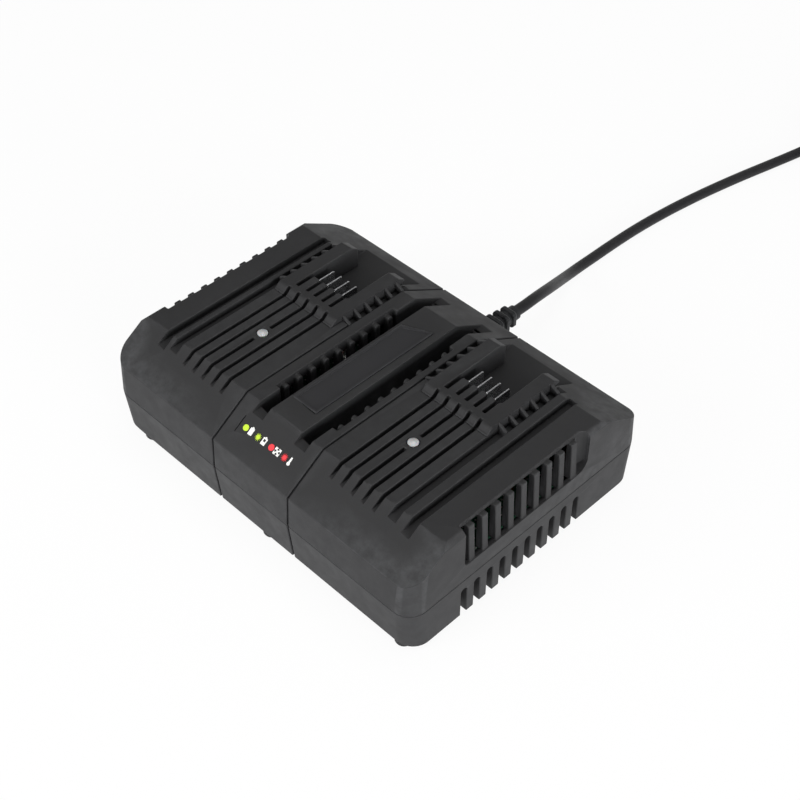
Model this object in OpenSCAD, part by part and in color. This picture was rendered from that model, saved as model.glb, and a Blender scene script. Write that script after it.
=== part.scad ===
// Twin-bay power tool battery charger: a clamshell housing on rubber feet, two battery bays with
// terminal blocks, a power board and fan inside, and a mains cord with a moulded plug.
// Origin on the surface the feet stand on, under the middle of the housing.
// +X along the row of bays, +Y towards the cord, +Z up. Millimetres.

/* [Housing] */
// Width of the housing across both bays
body_w = 240; // [238:1:256]
// Depth of the housing at the parting line
body_d = 183; // [180:1:196]
// Plan radius of the upright corners
corner_r = 11.5; // [9:0.5:13]
// Height of the rubber feet under the housing
foot_h = 3; // [2:0.5:6]
// Height of the lower base up to the parting line
base_h = 27.7; // [27:0.1:33]
// Height of the front wall above the parting line
front_wall_h = 20.7; // [19:0.1:22]
// Height of the rear wall above the parting line
rear_wall_h = 17.5; // [16:0.1:19]
// Height of the plateau above the parting line
cover_h = 38.4; // [37.6:0.1:42]
// Plan depth of the front slope
front_slope_d = 26.7; // [25.5:0.1:28]
// Plan depth of the rear slope
rear_slope_d = 36.2; // [34:0.1:37]
// Inward lean of the base's walls over their height
base_draft = 2.7; // [1.5:0.1:3.5]
// Inward lean of the cover's front and rear walls over their height
cover_draft = 1.35; // [0.5:0.05:2]
// Bevel along both ends of the plateau
end_bevel = 2.8; // [1.5:0.1:3.5]
// Thickness of the shells' walls
wall_t = 3; // [2.6:0.1:3.4]
// Thickness of the cover under the bays
bay_roof_t = 7.9; // [7.6:0.1:9]
// Open joint that shows between the two shells
joint_gap = 0.35; // [0.2:0.05:0.6]

/* [Bays] */
// Distance between the middles of the two bays
bay_pitch = 119.3; // [118:0.1:121]
// Offset of the pair of bays from the middle of the housing
bay_shift = -1.3; // [-2:0.1:0]
// Distance from a bay's middle to the inner edge of its rail grooves
rail_u = 24.2; // [24:0.1:25]
// Width of a rail groove
rail_w = 5.9; // [5:0.1:6.4]
// Depth of the outer rail groove of each bay, and of the pits beside the terminal blocks
rail_depth = 4.2; // [3:0.1:5]
// Depth of the seams that run right round the housing on the inner side of the bays
seam_depth = 1.5; // [0.8:0.1:2]
// Width of these seams
seam_w = 1.3; // [0.8:0.1:2]
// Number of narrow cooling slots across each bay
bay_slot_n = 5; // [3:1:5]
// Distance between neighbouring slots
bay_slot_pitch = 7.83; // [6.5:0.01:8.4]
// Width of a slot
bay_slot_w = 2.5; // [1.5:0.1:3.5]
// Depth of the slots under the plateau
bay_slot_depth = 5.4; // [3:0.1:5.4]
// Distance from the middle to the near edge of each end groove
end_groove_x = 94; // [93:0.1:96]
// Width of the end grooves
end_groove_w = 5.8; // [4:0.1:6.5]
// Place of the rear end of the end grooves
end_groove_rear_y = 56.5; // [40:0.5:58]
// Place of the indicator lens along the bay
lens_y = -27; // [-34:1:-18]
// Diameter of the hole for the indicator lens
lens_d = 7.2; // [5:0.1:8]
// Open ring between the lens and its hole
lens_gap = 0.5; // [0.1:0.1:0.7]
// Height of the lens dome above the plateau
lens_rise = 1.2; // [0.5:0.1:2]

/* [Terminal blocks] */
// Place of the front foot of the block's ramp
block_front_y = 3; // [0:0.1:6]
// Depth of the block's closed part, front to rear
block_d = 40.2; // [39:0.1:42]
// Length of the two arms behind the closed part
arm_l = 18.8; // [14:0.1:20]
// Height of the block above the plateau
block_rise = 3.2; // [2.4:0.1:4]
// Plan depth of the ramp at the block's front
ramp_d = 4.8; // [3:0.1:6]
// Thickness of the flange that seats on the cover
flange_t = 4; // [3.2:0.1:5]
// Clearance between parts that seat in one another
seat_gap = 0.15; // [0.1:0.05:0.3]
// Width of the flange's seat outside the opening, on each side
seat_w = 1.7; // [1.2:0.1:2]
// Distance between neighbouring contact blades
blade_pitch = 6.4; // [6:0.1:6.8]
// Thickness of a contact blade
blade_t = 0.8; // [0.6:0.1:1.6]
// Length of a contact blade along the bay
blade_l = 12.4; // [9:0.1:13]
// Number of ribs across each rail groove
tooth_n = 6; // [3:1:6]
// Distance between the ribs across the rail grooves
tooth_pitch = 8.34; // [7:0.01:8.6]
// Thickness of a rib across a rail groove
tooth_t = 1.8; // [1.2:0.1:3]
// Height of the rear deck under the plateau
deck_drop = 12.9; // [12:0.1:13.2]

/* [Air channels] */
// Distance from the middle to the inner wall of each channel
channel_x = 12.35; // [11:0.05:13]
// Width of each channel
channel_w = 8.45; // [7:0.05:9]
// Depth of the channels under the plateau
channel_depth = 18; // [14:0.5:18.5]
// Width of the open strip that holds the posts
post_strip_w = 3.4; // [2.6:0.1:3.4]
// Number of posts along each channel
post_n = 9; // [5:1:9]
// Distance between neighbouring posts
post_pitch = 9.87; // [9:0.01:10]
// Width of a post
post_w = 3.8; // [3:0.1:5]
// Place of the middle post
post_mid_y = -5; // [-8:0.5:-2]

/* [End vents] */
// Number of ribs in each end window
rib_n = 9; // [5:1:9]
// Distance between neighbouring ribs
rib_pitch = 9.83; // [9:0.01:10]
// Width of a rib in the end windows
rib_w = 4.2; // [3:0.1:5]
// Depth of a rib in the end windows
rib_depth = 5.4; // [4:0.1:6]
// Place of the middle rib
rib_mid_y = -4.9; // [-6:0.1:-4]
// How much further forward the right ribs stand, and further back the left ones
rib_skew = 1.3; // [0:0.1:2]
// Length of the end windows
window_l = 95.1; // [93:0.1:97]
// Height of the window sill above the parting line
sill_h = 11.5; // [9:0.1:14]
// Distance from the end wall to the edge of the top plate over the window
top_plate_inset = 5.5; // [5:0.1:7]
// Width of the slots in the base's end walls
base_slot_w = 4.4; // [4.1:0.1:5.6]
// Height of the slots' tops above the base's underside
base_slot_h = 20.4; // [15:0.1:22]
// Depth of the fins between the slots, behind the base's end walls
base_fin_w = 3; // [2:0.1:4]

/* [Mains cord] */
// Diameter of the mains cord
cord_d = 7; // [6:0.1:7.2]
// Length of the strain relief outside the rear wall
boot_l = 28.5; // [24:0.5:28.5]
// Width of the strain relief at the rear wall
boot_w = 14; // [12:0.5:17]
// Number of ribs on the strain relief
boot_rib_n = 4; // [3:1:5]
// Thickness of the strap round the coil
tie_t = 1; // [0.6:0.1:1.4]
// Width of the strap round the coil
tie_w = 12; // [8:1:14]
// Diameter of the plug's pins
plug_pin_d = 4.8; // [4:0.1:5]
// Distance between the plug's pins
plug_pin_pitch = 19; // [18:0.5:20]
// Free length of the plug's pins
plug_pin_l = 19; // [16:0.5:20]

/* [Board and fan] */
// Distance from the fan to the power board
board_gap = 5; // [4:0.5:8]
// Distance from the power board to the right end of the housing
board_end_gap = 20; // [16:1:24]
// Distance from the power board to the cord clamp
board_clamp_gap = 5; // [4:0.5:7]
// Thickness of the circuit boards
board_t = 1.6; // [1.2:0.1:2]
// Height of the board's standoffs
standoff_h = 6; // [4:0.5:8]
// Size of the fan's square frame
fan_w = 48; // [44:1:50]
// Thickness of the fan
fan_t = 12; // [10:0.5:13]
// Diameter of the fan's shaft
fan_shaft_d = 3; // [2:0.1:4]
// Running clearance round the fan's shaft, on the radius
fan_run_gap = 0.05; // [0.02:0.01:0.09]
// Number of fan blades
fan_blade_n = 7; // [5:1:9]

/* [Fasteners] */
// Thread diameter of the housing screws
screw_d = 3; // [2.6:0.1:3.4]
// Head diameter of the housing screws
screw_head_d = 6; // [5:0.1:6.6]
// Length of the housing screws under the head
screw_l = 22; // [16:0.5:24]
// Distance from the middle to the corner screws
screw_corner_x = 104; // [102:0.5:105]
// Distance from the middle to the inner screws
screw_inner_x = 24; // [22:0.5:26]
// Distance from the middle to both rows of screws
screw_row_y = 68; // [67:0.5:69]
// Diameter of a rubber foot
foot_d = 10; // [9:0.5:11]
// Distance from the left feet to where the corner's rounding starts
foot_inset = 9.5; // [4:0.5:12]
// Place of the middle feet
foot_mid_x = 5.5; // [-8:0.5:8]
// Distance between the wall hooks' keyholes
keyhole_pitch = 150; // [140:1:150]
// Diameter of the keyholes' entry
keyhole_d = 9; // [8:0.1:10]

/* [Hidden] */
$fn = 48;
eps = 0.01;
far = 400;
// heights
base_z = foot_h;
part_z = base_z + base_h;
top_z = part_z + cover_h;
roof_z = top_z - bay_roof_t;
deck_z = top_z - deck_drop;
block_z = top_z + block_rise;
flange_z = block_z - flange_t;
channel_z = top_z - channel_depth;
sill_z = part_z + sill_h;
// plan
half_w = body_w / 2;
half_d = body_d / 2;
corner_x = half_w - corner_r;
front_wall_y = -half_d + cover_draft;
rear_wall_y = half_d - cover_draft;
front_edge_y = front_wall_y + front_slope_d;
rear_edge_y = rear_wall_y - rear_slope_d;
front_wall_z = part_z + front_wall_h;
rear_wall_z = part_z + rear_wall_h;
front_rise = (top_z - front_wall_z) / front_slope_d;
rear_fall = (top_z - rear_wall_z) / rear_slope_d;
front_angle = atan(front_rise);
front_lean = atan(cover_draft / front_wall_h);
rear_lean = atan(cover_draft / rear_wall_h);
base_lean = atan(base_draft / base_h);
// bays
bay_left_x = bay_shift - bay_pitch / 2;
bay_right_x = bay_shift + bay_pitch / 2;
bays = [bay_left_x, bay_right_x];
bay_slab_w = 2 * (end_groove_x + end_groove_w + 2);
lens_pad_r = lens_d / 2 + 2.3;
lens_dome_d = lens_d - 2 * lens_gap;
// terminal blocks
block_u = rail_u - seat_w;
block_rear_y = block_front_y + block_d;
arm_rear_y = block_rear_y + arm_l;
open_front_y = block_front_y + 1.2;
pan_t = 3;
block_floor_z = deck_z - pan_t;
pit_u = 15.4;
pit_front_y = block_front_y + 21.4;
pit_rear_y = block_front_y + 35;
pit_z = block_floor_z + 7.8;
blade_n = 4;
blade_top_z = block_z - 1.6;
blade_y = (pit_front_y + pit_rear_y) / 2 - 0.2;
blade_chamfer = 0.8;
comb_w = 2.6;
comb_front_y = block_front_y + 9.6;
comb_rear_y = pit_front_y + 1;
comb_side_w = 2.8;
ramp_steps = 6;
comb_z = top_z - 5;
tooth_front_y = block_front_y + 9;
// channels
channel_out_x = channel_x + channel_w;
trough_t = 2;
channel_front_y = front_edge_y - 0.6;
channel_rear_y = rear_edge_y + 13.5;
post_strip_l = post_n * post_pitch;
post_top_z = top_z - 1.6;
// end windows
window_mid_y = rib_mid_y + 0.75;
window_front_y = window_mid_y - window_l / 2;
window_rear_y = window_mid_y + window_l / 2;
rib_top_z = top_z - 1.8;
rib_out_x = half_w - 0.8;
rib_in_x = rib_out_x - rib_depth;
rib_lean = 1.4;
base_slot_lead = 0.9;
window_r = 8;
window_front_r = 2;
window_plan_r = 5;
cheek_t = 2;
plate_x = half_w - top_plate_inset;
base_slots_l = rib_n * rib_pitch + base_slot_w;
base_slot_r = 2;
base_fin_x = half_w - wall_t - base_fin_w;
// fan
fan_x = -half_w + wall_t + 10;
fan_y = -8;
fan_z = base_z + wall_t + fan_w / 2 + 1;
fan_bore_r = fan_w / 2 - 1.6;
fan_tip_r = fan_bore_r - 0.9;
fan_hub_r = fan_w * 0.23;
guide_h = 12;
guide_y = fan_w / 2 + 2.6;
guide_t = 3.2;
ear_w = 5.4;
ear_t = 2;
ear_z = base_z + wall_t + guide_h;
// boards
clamp_y = screw_row_y + 2;
clamp_d = 8;
board_z = base_z + wall_t + standoff_h;
board_top = board_z + board_t;
board_left_x = fan_x + fan_t + board_gap;
board_right_x = half_w - board_end_gap;
board_w = board_right_x - board_left_x;
board_d = 2 * (clamp_y - clamp_d / 2 - board_clamp_gap);
board_x = (board_left_x + board_right_x) / 2;
standoff_inset = 6;
standoffs = [for (x = [board_left_x + standoff_inset, board_right_x - standoff_inset], y = [-1, 1])
    [x, y * (board_d / 2 - standoff_inset)]];
bay_board_top = block_floor_z;
bay_board_z = bay_board_top - board_t;
bay_board_w = 40;
bay_board_d = 28;
bay_board_y = blade_y - 1.8;
bay_screw_u = bay_board_w * 0.4;
lamp_board_z = roof_z - 6.6;
lamp_peg_y = 7;
// power board parts, placed by shares of the board's width and depth from its middle
transformer_at = on_board(0.09, -0.05);
core_w = 42;
core_d = 15;
core_h = 30;
leg_w = 12;
yoke_t = 7;
yoke_lift = 2;
input_cap_d = 22;
input_cap_h = 32;
input_cap_at = [on_board(0.28, -0.245), on_board(0.28, -0.03)];
output_cap_d = 10;
output_cap_h = 20;
output_cap_n = 4;
output_cap_pitch = output_cap_d * 1.3;
output_cap_at = [board_left_x + 12, -board_d / 2 + 13];
sink_h = 26;
sink_t = 3;
fin_pitch = 6;
fin_t = 1.4;
fin_l = 8.5;
primary_sink_at = on_board(0.1, -0.328);
primary_sink_w = board_w * 0.21;
secondary_sink_at = on_board(-0.174, -0.295);
secondary_sink_w = board_w * 0.23;
package_w = 10;
package_t = 4.5;
package_lift = 5;
choke_at = on_board(0.405, 0.213);
choke_core_r = 8;
choke_ring_w = 5;
choke_t = 8;
choke_lift = 2.4;
choke_z = board_top + choke_core_r + choke_ring_w / 2 + choke_lift;
fuse_at = on_board(0.216, 0.393);
fuse_d = 4.8;
fuse_l = 20;
fuse_cap_l = 5;
line_cap_at = on_board(0.079, 0.36);
line_cap_w = 18;
line_cap_d = 9;
line_cap_h = 14;
varistor_at = on_board(0.384, 0.393);
varistor_d = 13;
varistor_t = 4.4;
varistor_lift = 2.5;
bridge_at = on_board(0.11, 0.18);
bridge_w = 20;
bridge_h = 15;
bridge_t = 4;
bridge_lift = 4;
chip_at = on_board(-0.205, 0.05);
chip_w = 11;
chip_t = 1.5;
chip_pin_n = 7;
chip_pin_pitch = 1.3;
wire_n = 4;
wire_d = 2;
wire_pitch = 3.4;
socket_w = 18;
socket_d = 8;
socket_h = 9;
socket_y = bay_board_y;
inlet_y = board_d / 2 - 6;
inlet_w = 16;
inlet_d = 10;
inlet_h = 12;
inlet_hole_z = board_top + 4.5;
inlet_wire_u = 4;
// badge and legend
badge_x = [-11, 7.4];
badge_front_y = -49;
badge_rear_y = [33, 41];
badge_rim_w = 1.8;
badge_sink = 0.6;
badge_h = 0.9;
mark_y = front_wall_y + 13.3;
mark_line_x = -22.9;
mark_line_w = 0.7;
mark_line_l = 10.8;
mark_disc_d = 3.7;
mark_star_r = 2.3;
mark_star_share = 0.42;
mark_share = 0.9;
mark_t = 0.25;
// fasteners
boss_r = screw_d / 2 + 2.6;
screw_seat_z = base_z + 14;
screws = [for (x = [-screw_corner_x, -screw_inner_x, screw_inner_x, screw_corner_x], y = [-1, 1])
    [x, y * screw_row_y]];
foot_y = half_d - base_draft - foot_d / 2;
feet = [for (x = [foot_inset - corner_x, foot_mid_x, corner_x], y = [-foot_y, foot_y]) [x, y]];
foot_stem_d = foot_d - 4;
// cord
cord_z = part_z;
boot_y = half_d;
boot_end_y = boot_y + boot_l;
clamp_w = 20;
clamp_h = 6.5;
clamp_screw_u = 7;
core_start_y = half_d - wall_t - 4;
core_end_y = clamp_y - 6;
coil_x = 64;
coil_y = 455;
coil_pitch = 7.2;
coil_mid_r = 42.6;
coil_low_z = tie_t;
coil_in_r = coil_mid_r - 1.5 * coil_pitch;
coil_out_r = coil_mid_r + 1.5 * coil_pitch;
coil_top_z = coil_low_z + 2 * coil_pitch;
lead_points = [[0, 120, 30.7], [0, 129, 30.5], [-0.8, 139, 29.6], [-2.8, 150, 26.8], [-6, 161, 22.2],
    [-10, 172, 16.6], [-14, 183, 11], [-17, 194, 6.8], [-18.8, 206, 4.4], [-19.2, 220, 3.6],
    [-19, 242, 3.5], [-18, 266, 3.5], [-15.8, 290, 3.5], [-12.4, 315, 3.5], [-8, 340, 3.5],
    [-2.8, 365, 3.5], [3, 390, 3.5], [8.4, 413, 3.7], [12.2, 431, 4.1], [14, 445, 4.5]];
tail_points = [[95, 494, 11.7], [104, 489, 11.8], [113, 482, 11], [120, 472.5, 8.4], [124.6, 461, 5.6],
    [126.6, 448, 4.1], [127, 436, 4.2], [127, 425, 5.8], [127, 415, 7.6], [127, 408, 8]];
plug_x = 127;
plug_y = 408;
plug_z = 8;
plug_w = 35;
plug_h = 16;
plug_l = 34;

// Housing outline in the Y-Z plane, anticlockwise from the lower front edge
side_outline = [[-half_d + base_draft, base_z], [half_d - base_draft, base_z], [half_d, part_z],
    [rear_wall_y, rear_wall_z], [rear_edge_y, top_z], [front_edge_y, top_z],
    [front_wall_y, front_wall_z], [-half_d, part_z]];
// Roof and floor in the Y-Z plane, with the slopes run on past the walls by reach
reach = 10;
roof_outline = [[-half_d - reach, base_z], [half_d + reach, base_z],
    [half_d + reach, rear_z(half_d + reach)], [rear_edge_y, top_z], [front_edge_y, top_z],
    [-half_d - reach, front_z(-half_d - reach)]];
// End bevels in the X-Z plane, run on past the walls and the plateau by reach
bevel_outline = [[-half_w - reach, -reach], [half_w + reach, -reach],
    [half_w + reach, top_z - end_bevel - reach], [half_w - end_bevel - reach, top_z + reach],
    [-half_w + end_bevel + reach, top_z + reach], [-half_w - reach, top_z - end_bevel - reach]];

function front_z(y) = top_z - (front_edge_y - y) * front_rise;
function rear_z(y) = top_z - (y - rear_edge_y) * rear_fall;
// Place on the power board, by shares of its width and depth from its middle
function on_board(u, v) = [board_x + u * board_w, v * board_d];
function across(a, b) = a[0] * b[1] - a[1] * b[0];
function unit(v) = v / norm(v);
function left_of(v) = [-v[1], v[0]];
// Corner q of an anticlockwise outline p, q, r after both of its edges move inwards by t
function inset_corner(p, q, r, t) =
    let (d1 = unit(q - p), d2 = unit(r - q), a = q + t * left_of(d1), b = q + t * left_of(d2))
    a + d1 * across(b - a, d2) / across(d1, d2);
function inset_outline(pts, t) =
    let (n = len(pts))
    [for (i = [0:n - 1]) inset_corner(pts[(i + n - 1) % n], pts[i], pts[(i + 1) % n], t)];

// ---- shared shapes ----

// Extrudes a Y-Z outline from x0 to x1
module along_x(x0, x1) {
    translate([x0, 0, 0]) rotate([90, 0, 90]) linear_extrude(height = x1 - x0) children();
}

// Extrudes an X-Z outline from y0 to y1
module along_y(y0, y1) {
    translate([0, y1, 0]) rotate([90, 0, 0]) linear_extrude(height = y1 - y0) children();
}

// Box between two corners
module block(low, high) {
    translate(low) cube(high - low);
}

// The same shape on the left and on the right of the middle
module both_sides() {
    children();
    mirror([1, 0, 0]) children();
}

module rounded_rect(w, d, r) {
    square([w - 2 * r, d], center = true);
    square([w, d - 2 * r], center = true);
    for (x = [-1, 1], y = [-1, 1])
        translate([x * (w / 2 - r), y * (d / 2 - r)]) circle(r);
}

module rounded_block(w, d, h, r) {
    linear_extrude(height = h) rounded_rect(w, d, r);
}

// Front wall leaning back by an angle from the parting line up, with both rounded corners and all
// that is behind them, and with every face moved inwards by t
module leaning_front(angle, t) {
    translate([0, -half_d, part_z]) rotate([-angle, 0, 0]) translate([0, 0, -far / 2])
        linear_extrude(height = far) {
            translate([-corner_x, t]) square([2 * corner_x, far]);
            translate([t - half_w, corner_r]) square([body_w - 2 * t, far]);
            for (x = [-corner_x, corner_x]) translate([x, corner_r]) circle(corner_r - t);
        }
}

// Housing form between two leaning walls, with every face moved inwards by t
module form(front, rear, t) {
    intersection() {
        along_x(-half_w - 1, half_w + 1) polygon(inset_outline(roof_outline, t));
        along_y(-half_d - 1, half_d + 1) polygon(inset_outline(bevel_outline, t));
        leaning_front(front, t);
        mirror([0, 1, 0]) leaning_front(rear, t);
    }
}

module cover_form(t) {
    form(front_lean, rear_lean, t);
}

module base_form(t) {
    form(-base_lean, -base_lean, t);
}

// Screw with its head's underside at the origin and its shank down +Z
module screw(d, l, head_d, head_h) {
    cylinder(d = d, h = l);
    difference() {
        translate([0, 0, -head_h]) cylinder(d = head_d, h = head_h);
        for (a = [0, 90])
            rotate([0, 0, a])
                translate([-head_d * 0.3, -0.4, -head_h - eps]) cube([head_d * 0.6, 0.8, head_h * 0.6]);
    }
}

// Places children on the front slope at x and at the depth y, with +Z out of the slope
module on_front_slope(x, y) {
    translate([x, y, front_z(y)]) rotate([front_angle, 0, 0]) children();
}

// Round tube swept along points as one closed solid; the route never runs along the vector up
module tube(points, d, sides, up = [0, 0, 1]) {
    n = len(points);
    rings = [for (i = [0:n - 1])
        let (t = unit(points[min(i + 1, n - 1)] - points[max(i - 1, 0)]),
             e = unit(cross(up, t)), f = cross(t, e))
        for (k = [0:sides - 1])
            points[i] + d / 2 * (cos(360 * k / sides) * e + sin(360 * k / sides) * f)];
    sides_faces = [for (i = [0:n - 2], k = [0:sides - 1])
        let (a = i * sides + k, b = i * sides + (k + 1) % sides) [a, a + sides, b + sides, b]];
    polyhedron(points = rings, faces = concat([[for (k = [0:sides - 1]) k]], sides_faces,
        [[for (k = [sides - 1:-1:0]) (n - 1) * sides + k]]));
}

// ---- upper cover ----

// Groove right round the housing between x0 and x1
module seam_groove(x0, x1) {
    difference() {
        block([x0, -half_d - 1, 0], [x1, half_d + 1, top_z + 1]);
        along_x(x0 - 1, x1 + 1) polygon(inset_outline(side_outline, seam_depth));
    }
}

module seams() {
    seam_groove(bay_left_x + rail_u + rail_w - seam_w, bay_left_x + rail_u + rail_w);
    seam_groove(bay_right_x - rail_u - rail_w, bay_right_x - rail_u - rail_w + seam_w);
}

module cover_shell() {
    difference() {
        intersection() {
            cover_form(0);
            block([-far, -far, part_z], [far, far, far]);
        }
        difference() {
            cover_form(wall_t);
            block([-bay_slab_w / 2, -far, roof_z], [bay_slab_w / 2, far, far]);
        }
    }
}

// Troughs under the air channels, pans under the rear decks, screw bosses and lamp pegs
module cover_inside() {
    intersection() {
        cover_form(wall_t / 2);
        union() {
            both_sides()
                block([channel_x - trough_t, channel_front_y - trough_t, channel_z - trough_t],
                    [channel_out_x + post_strip_w, channel_rear_y + trough_t, roof_z + 1]);
            for (x = bays)
                block([x - block_u - trough_t, block_rear_y - trough_t, block_floor_z],
                    [x + block_u + trough_t, half_d, roof_z + 1]);
            both_sides() window_cheek();
            for (p = screws)
                translate([p[0], p[1], part_z]) cylinder(r = boss_r, h = cover_h);
        }
    }
    for (x = bays, y = [-lamp_peg_y, lamp_peg_y]) {
        translate([x, lens_y + y, lamp_board_z + board_t])
            cylinder(d = 4, h = roof_z - lamp_board_z - board_t + 1);
        translate([x, lens_y + y, lamp_board_z - 0.8]) cylinder(d = 2, h = 4);
    }
}

// Narrow slots across a bay, left whole round the lens
module bay_slots(x) {
    for (i = [0:bay_slot_n - 1])
        difference() {
            translate([x + (i - (bay_slot_n - 1) / 2) * bay_slot_pitch - bay_slot_w / 2, -half_d,
                top_z - bay_slot_depth])
                cube([bay_slot_w, half_d + open_front_y + 1, bay_slot_depth + 1]);
            translate([x, lens_y, 0]) cylinder(r = lens_pad_r, h = far);
        }
}

module bay_cuts(x) {
    bay_slots(x);
    // opening and seat of the terminal block
    block([x - block_u, open_front_y, 0], [x + block_u, block_rear_y, far]);
    block([x - rail_u, block_front_y, flange_z], [x + rail_u, arm_rear_y + seat_gap, far]);
    // rear deck, open to the rear
    block([x - block_u, block_rear_y - eps, deck_z], [x + block_u, half_d, far]);
    // indicator lens
    translate([x, lens_y, 0]) cylinder(d = lens_d, h = far);
}

module rail_grooves() {
    block([bay_left_x - rail_u - rail_w, -half_d, top_z - rail_depth],
        [bay_left_x - rail_u, half_d, far]);
    block([bay_right_x + rail_u, -half_d, top_z - rail_depth],
        [bay_right_x + rail_u + rail_w, half_d, far]);
    both_sides()
        block([end_groove_x, -half_d, top_z - bay_slot_depth],
            [end_groove_x + end_groove_w, end_groove_rear_y, far]);
    // pits for the ribs, from each terminal block to the seam beside it
    block([bay_left_x + rail_u, tooth_front_y - seat_gap, top_z - rail_depth],
        [bay_left_x + rail_u + rail_w, arm_rear_y + seat_gap, far]);
    block([bay_right_x - rail_u - rail_w, tooth_front_y - seat_gap, top_z - rail_depth],
        [bay_right_x - rail_u, arm_rear_y + seat_gap, far]);
}

// Deep channel with a shallow shelf at both ends and a strip of openings beside it
module air_channel() {
    block([channel_x, channel_front_y, channel_z], [channel_out_x, channel_rear_y, far]);
    block([channel_x, -half_d, top_z - rail_depth], [channel_out_x, 0, far]);
    block([channel_x, 0, deck_z], [channel_out_x, half_d, far]);
    block([channel_out_x - eps, post_mid_y - post_strip_l / 2, channel_z],
        [channel_out_x + post_strip_w, post_mid_y + post_strip_l / 2, far]);
}

module channel_posts() {
    for (i = [0:post_n - 1])
        translate([channel_out_x, post_mid_y + (i - (post_n - 1) / 2) * post_pitch, 0]) {
            translate([0, -post_w / 2, channel_z - trough_t])
                cube([post_strip_w + 0.5, post_w, post_top_z - post_w / 2 - channel_z + trough_t]);
            translate([0, 0, post_top_z - post_w / 2])
                rotate([0, 90, 0]) cylinder(d = post_w, h = post_strip_w + 0.5);
        }
}

// End window outline in Y-Z, with rounded lower corners
module window_outline() {
    translate([window_front_y + window_front_r, sill_z])
        square([window_l - window_r - window_front_r, top_z]);
    translate([window_front_y, sill_z + window_front_r]) square([window_l - window_r, top_z]);
    translate([window_front_y, sill_z + window_r]) square([window_l, top_z]);
    translate([window_front_y + window_front_r, sill_z + window_front_r]) circle(window_front_r);
    translate([window_rear_y - window_r, sill_z + window_r]) circle(window_r);
}

// Window in the right end, with a rounded rear corner in plan
module end_window() {
    intersection() {
        along_x(plate_x - 1, half_w + 1) window_outline();
        linear_extrude(height = far) {
            translate([plate_x, -half_d]) square([half_w, half_d + window_rear_y - window_plan_r]);
            translate([plate_x + window_plan_r, -half_d]) square([half_w, half_d + window_rear_y]);
            translate([plate_x + window_plan_r, window_rear_y - window_plan_r]) circle(window_plan_r);
        }
    }
}

// Cheek inside the right end that carries the window's rounded rear corner
module window_cheek() {
    block([plate_x - cheek_t, window_rear_y - window_plan_r - 1, sill_z - cheek_t],
        [half_w, window_rear_y + cheek_t, top_z]);
}

// Deep ribs across the window of the right end, the middle one at mid_y
module window_ribs(mid_y) {
    for (i = [0:rib_n - 1])
        translate([0, mid_y + (i - (rib_n - 1) / 2) * rib_pitch, 0]) along_y(-rib_w / 2, rib_w / 2)
            polygon([[rib_in_x, sill_z - 1], [rib_out_x, sill_z - 1], [rib_out_x - rib_lean, rib_top_z],
                [rib_in_x, rib_top_z]]);
}

// Room for the cord's strain relief in both rear walls
module gland_cut() {
    translate([0, half_d + 1, cord_z]) rotate([90, 0, 0])
        cylinder(d = boot_w - 3, h = wall_t + 12);
}

module upper_cover() {
    color("#2e2f31") {
        difference() {
            union() {
                cover_shell();
                cover_inside();
            }
            seams();
            for (x = bays) bay_cuts(x);
            rail_grooves();
            both_sides() air_channel();
            both_sides() end_window();
            badge_recess();
            mark_line();
            for (p = screws)
                translate([p[0], p[1], part_z - 1]) cylinder(d = screw_d + 0.1, h = screw_l - 9);
            gland_cut();
        }
        both_sides() channel_posts();
        window_ribs(rib_mid_y - rib_skew);
        mirror([1, 0, 0]) window_ribs(rib_mid_y + rib_skew);
    }
}

// ---- lower base ----

// Thick part of the right end wall that the slots run through
module fin_wall() {
    block([base_fin_x, rib_mid_y - base_slots_l / 2 - 4, base_z + 1],
        [half_w - wall_t / 2, rib_mid_y + base_slots_l / 2 + 4, base_z + base_slot_h + 2]);
}

// Slots through the right end wall and its foot, with rounded tops, round the middle mid_y
module base_slots(mid_y) {
    for (i = [0:rib_n])
        translate([0, mid_y - base_slot_lead + (i - rib_n / 2) * rib_pitch, base_z])
            along_x(base_fin_x - 1, half_w + 1)
                rounded_rect(base_slot_w, 2 * base_slot_h, base_slot_r);
}

// Lip that stands up inside the cover
module joint_lip() {
    difference() {
        intersection() {
            cover_form(wall_t - 0.5);
            block([-far, -far, part_z - 3], [far, far, part_z + 2]);
        }
        cover_form(wall_t + 1.6);
        intersection() {
            block([-far, -far, part_z - joint_gap], [far, far, far]);
            difference() {
                cover_form(-1);
                cover_form(wall_t + seat_gap);
            }
        }
        for (p = screws)
            translate([p[0], p[1], part_z - joint_gap]) cylinder(r = boss_r + 0.4, h = 10);
        block([-boot_w, 0, 0], [boot_w, far, far]);
    }
}

module keyhole() {
    cylinder(d = keyhole_d, h = far);
    translate([-keyhole_d / 4, 0, 0]) cube([keyhole_d / 2, keyhole_d, far]);
    translate([0, keyhole_d, 0]) cylinder(d = keyhole_d / 2, h = far);
}

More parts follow.
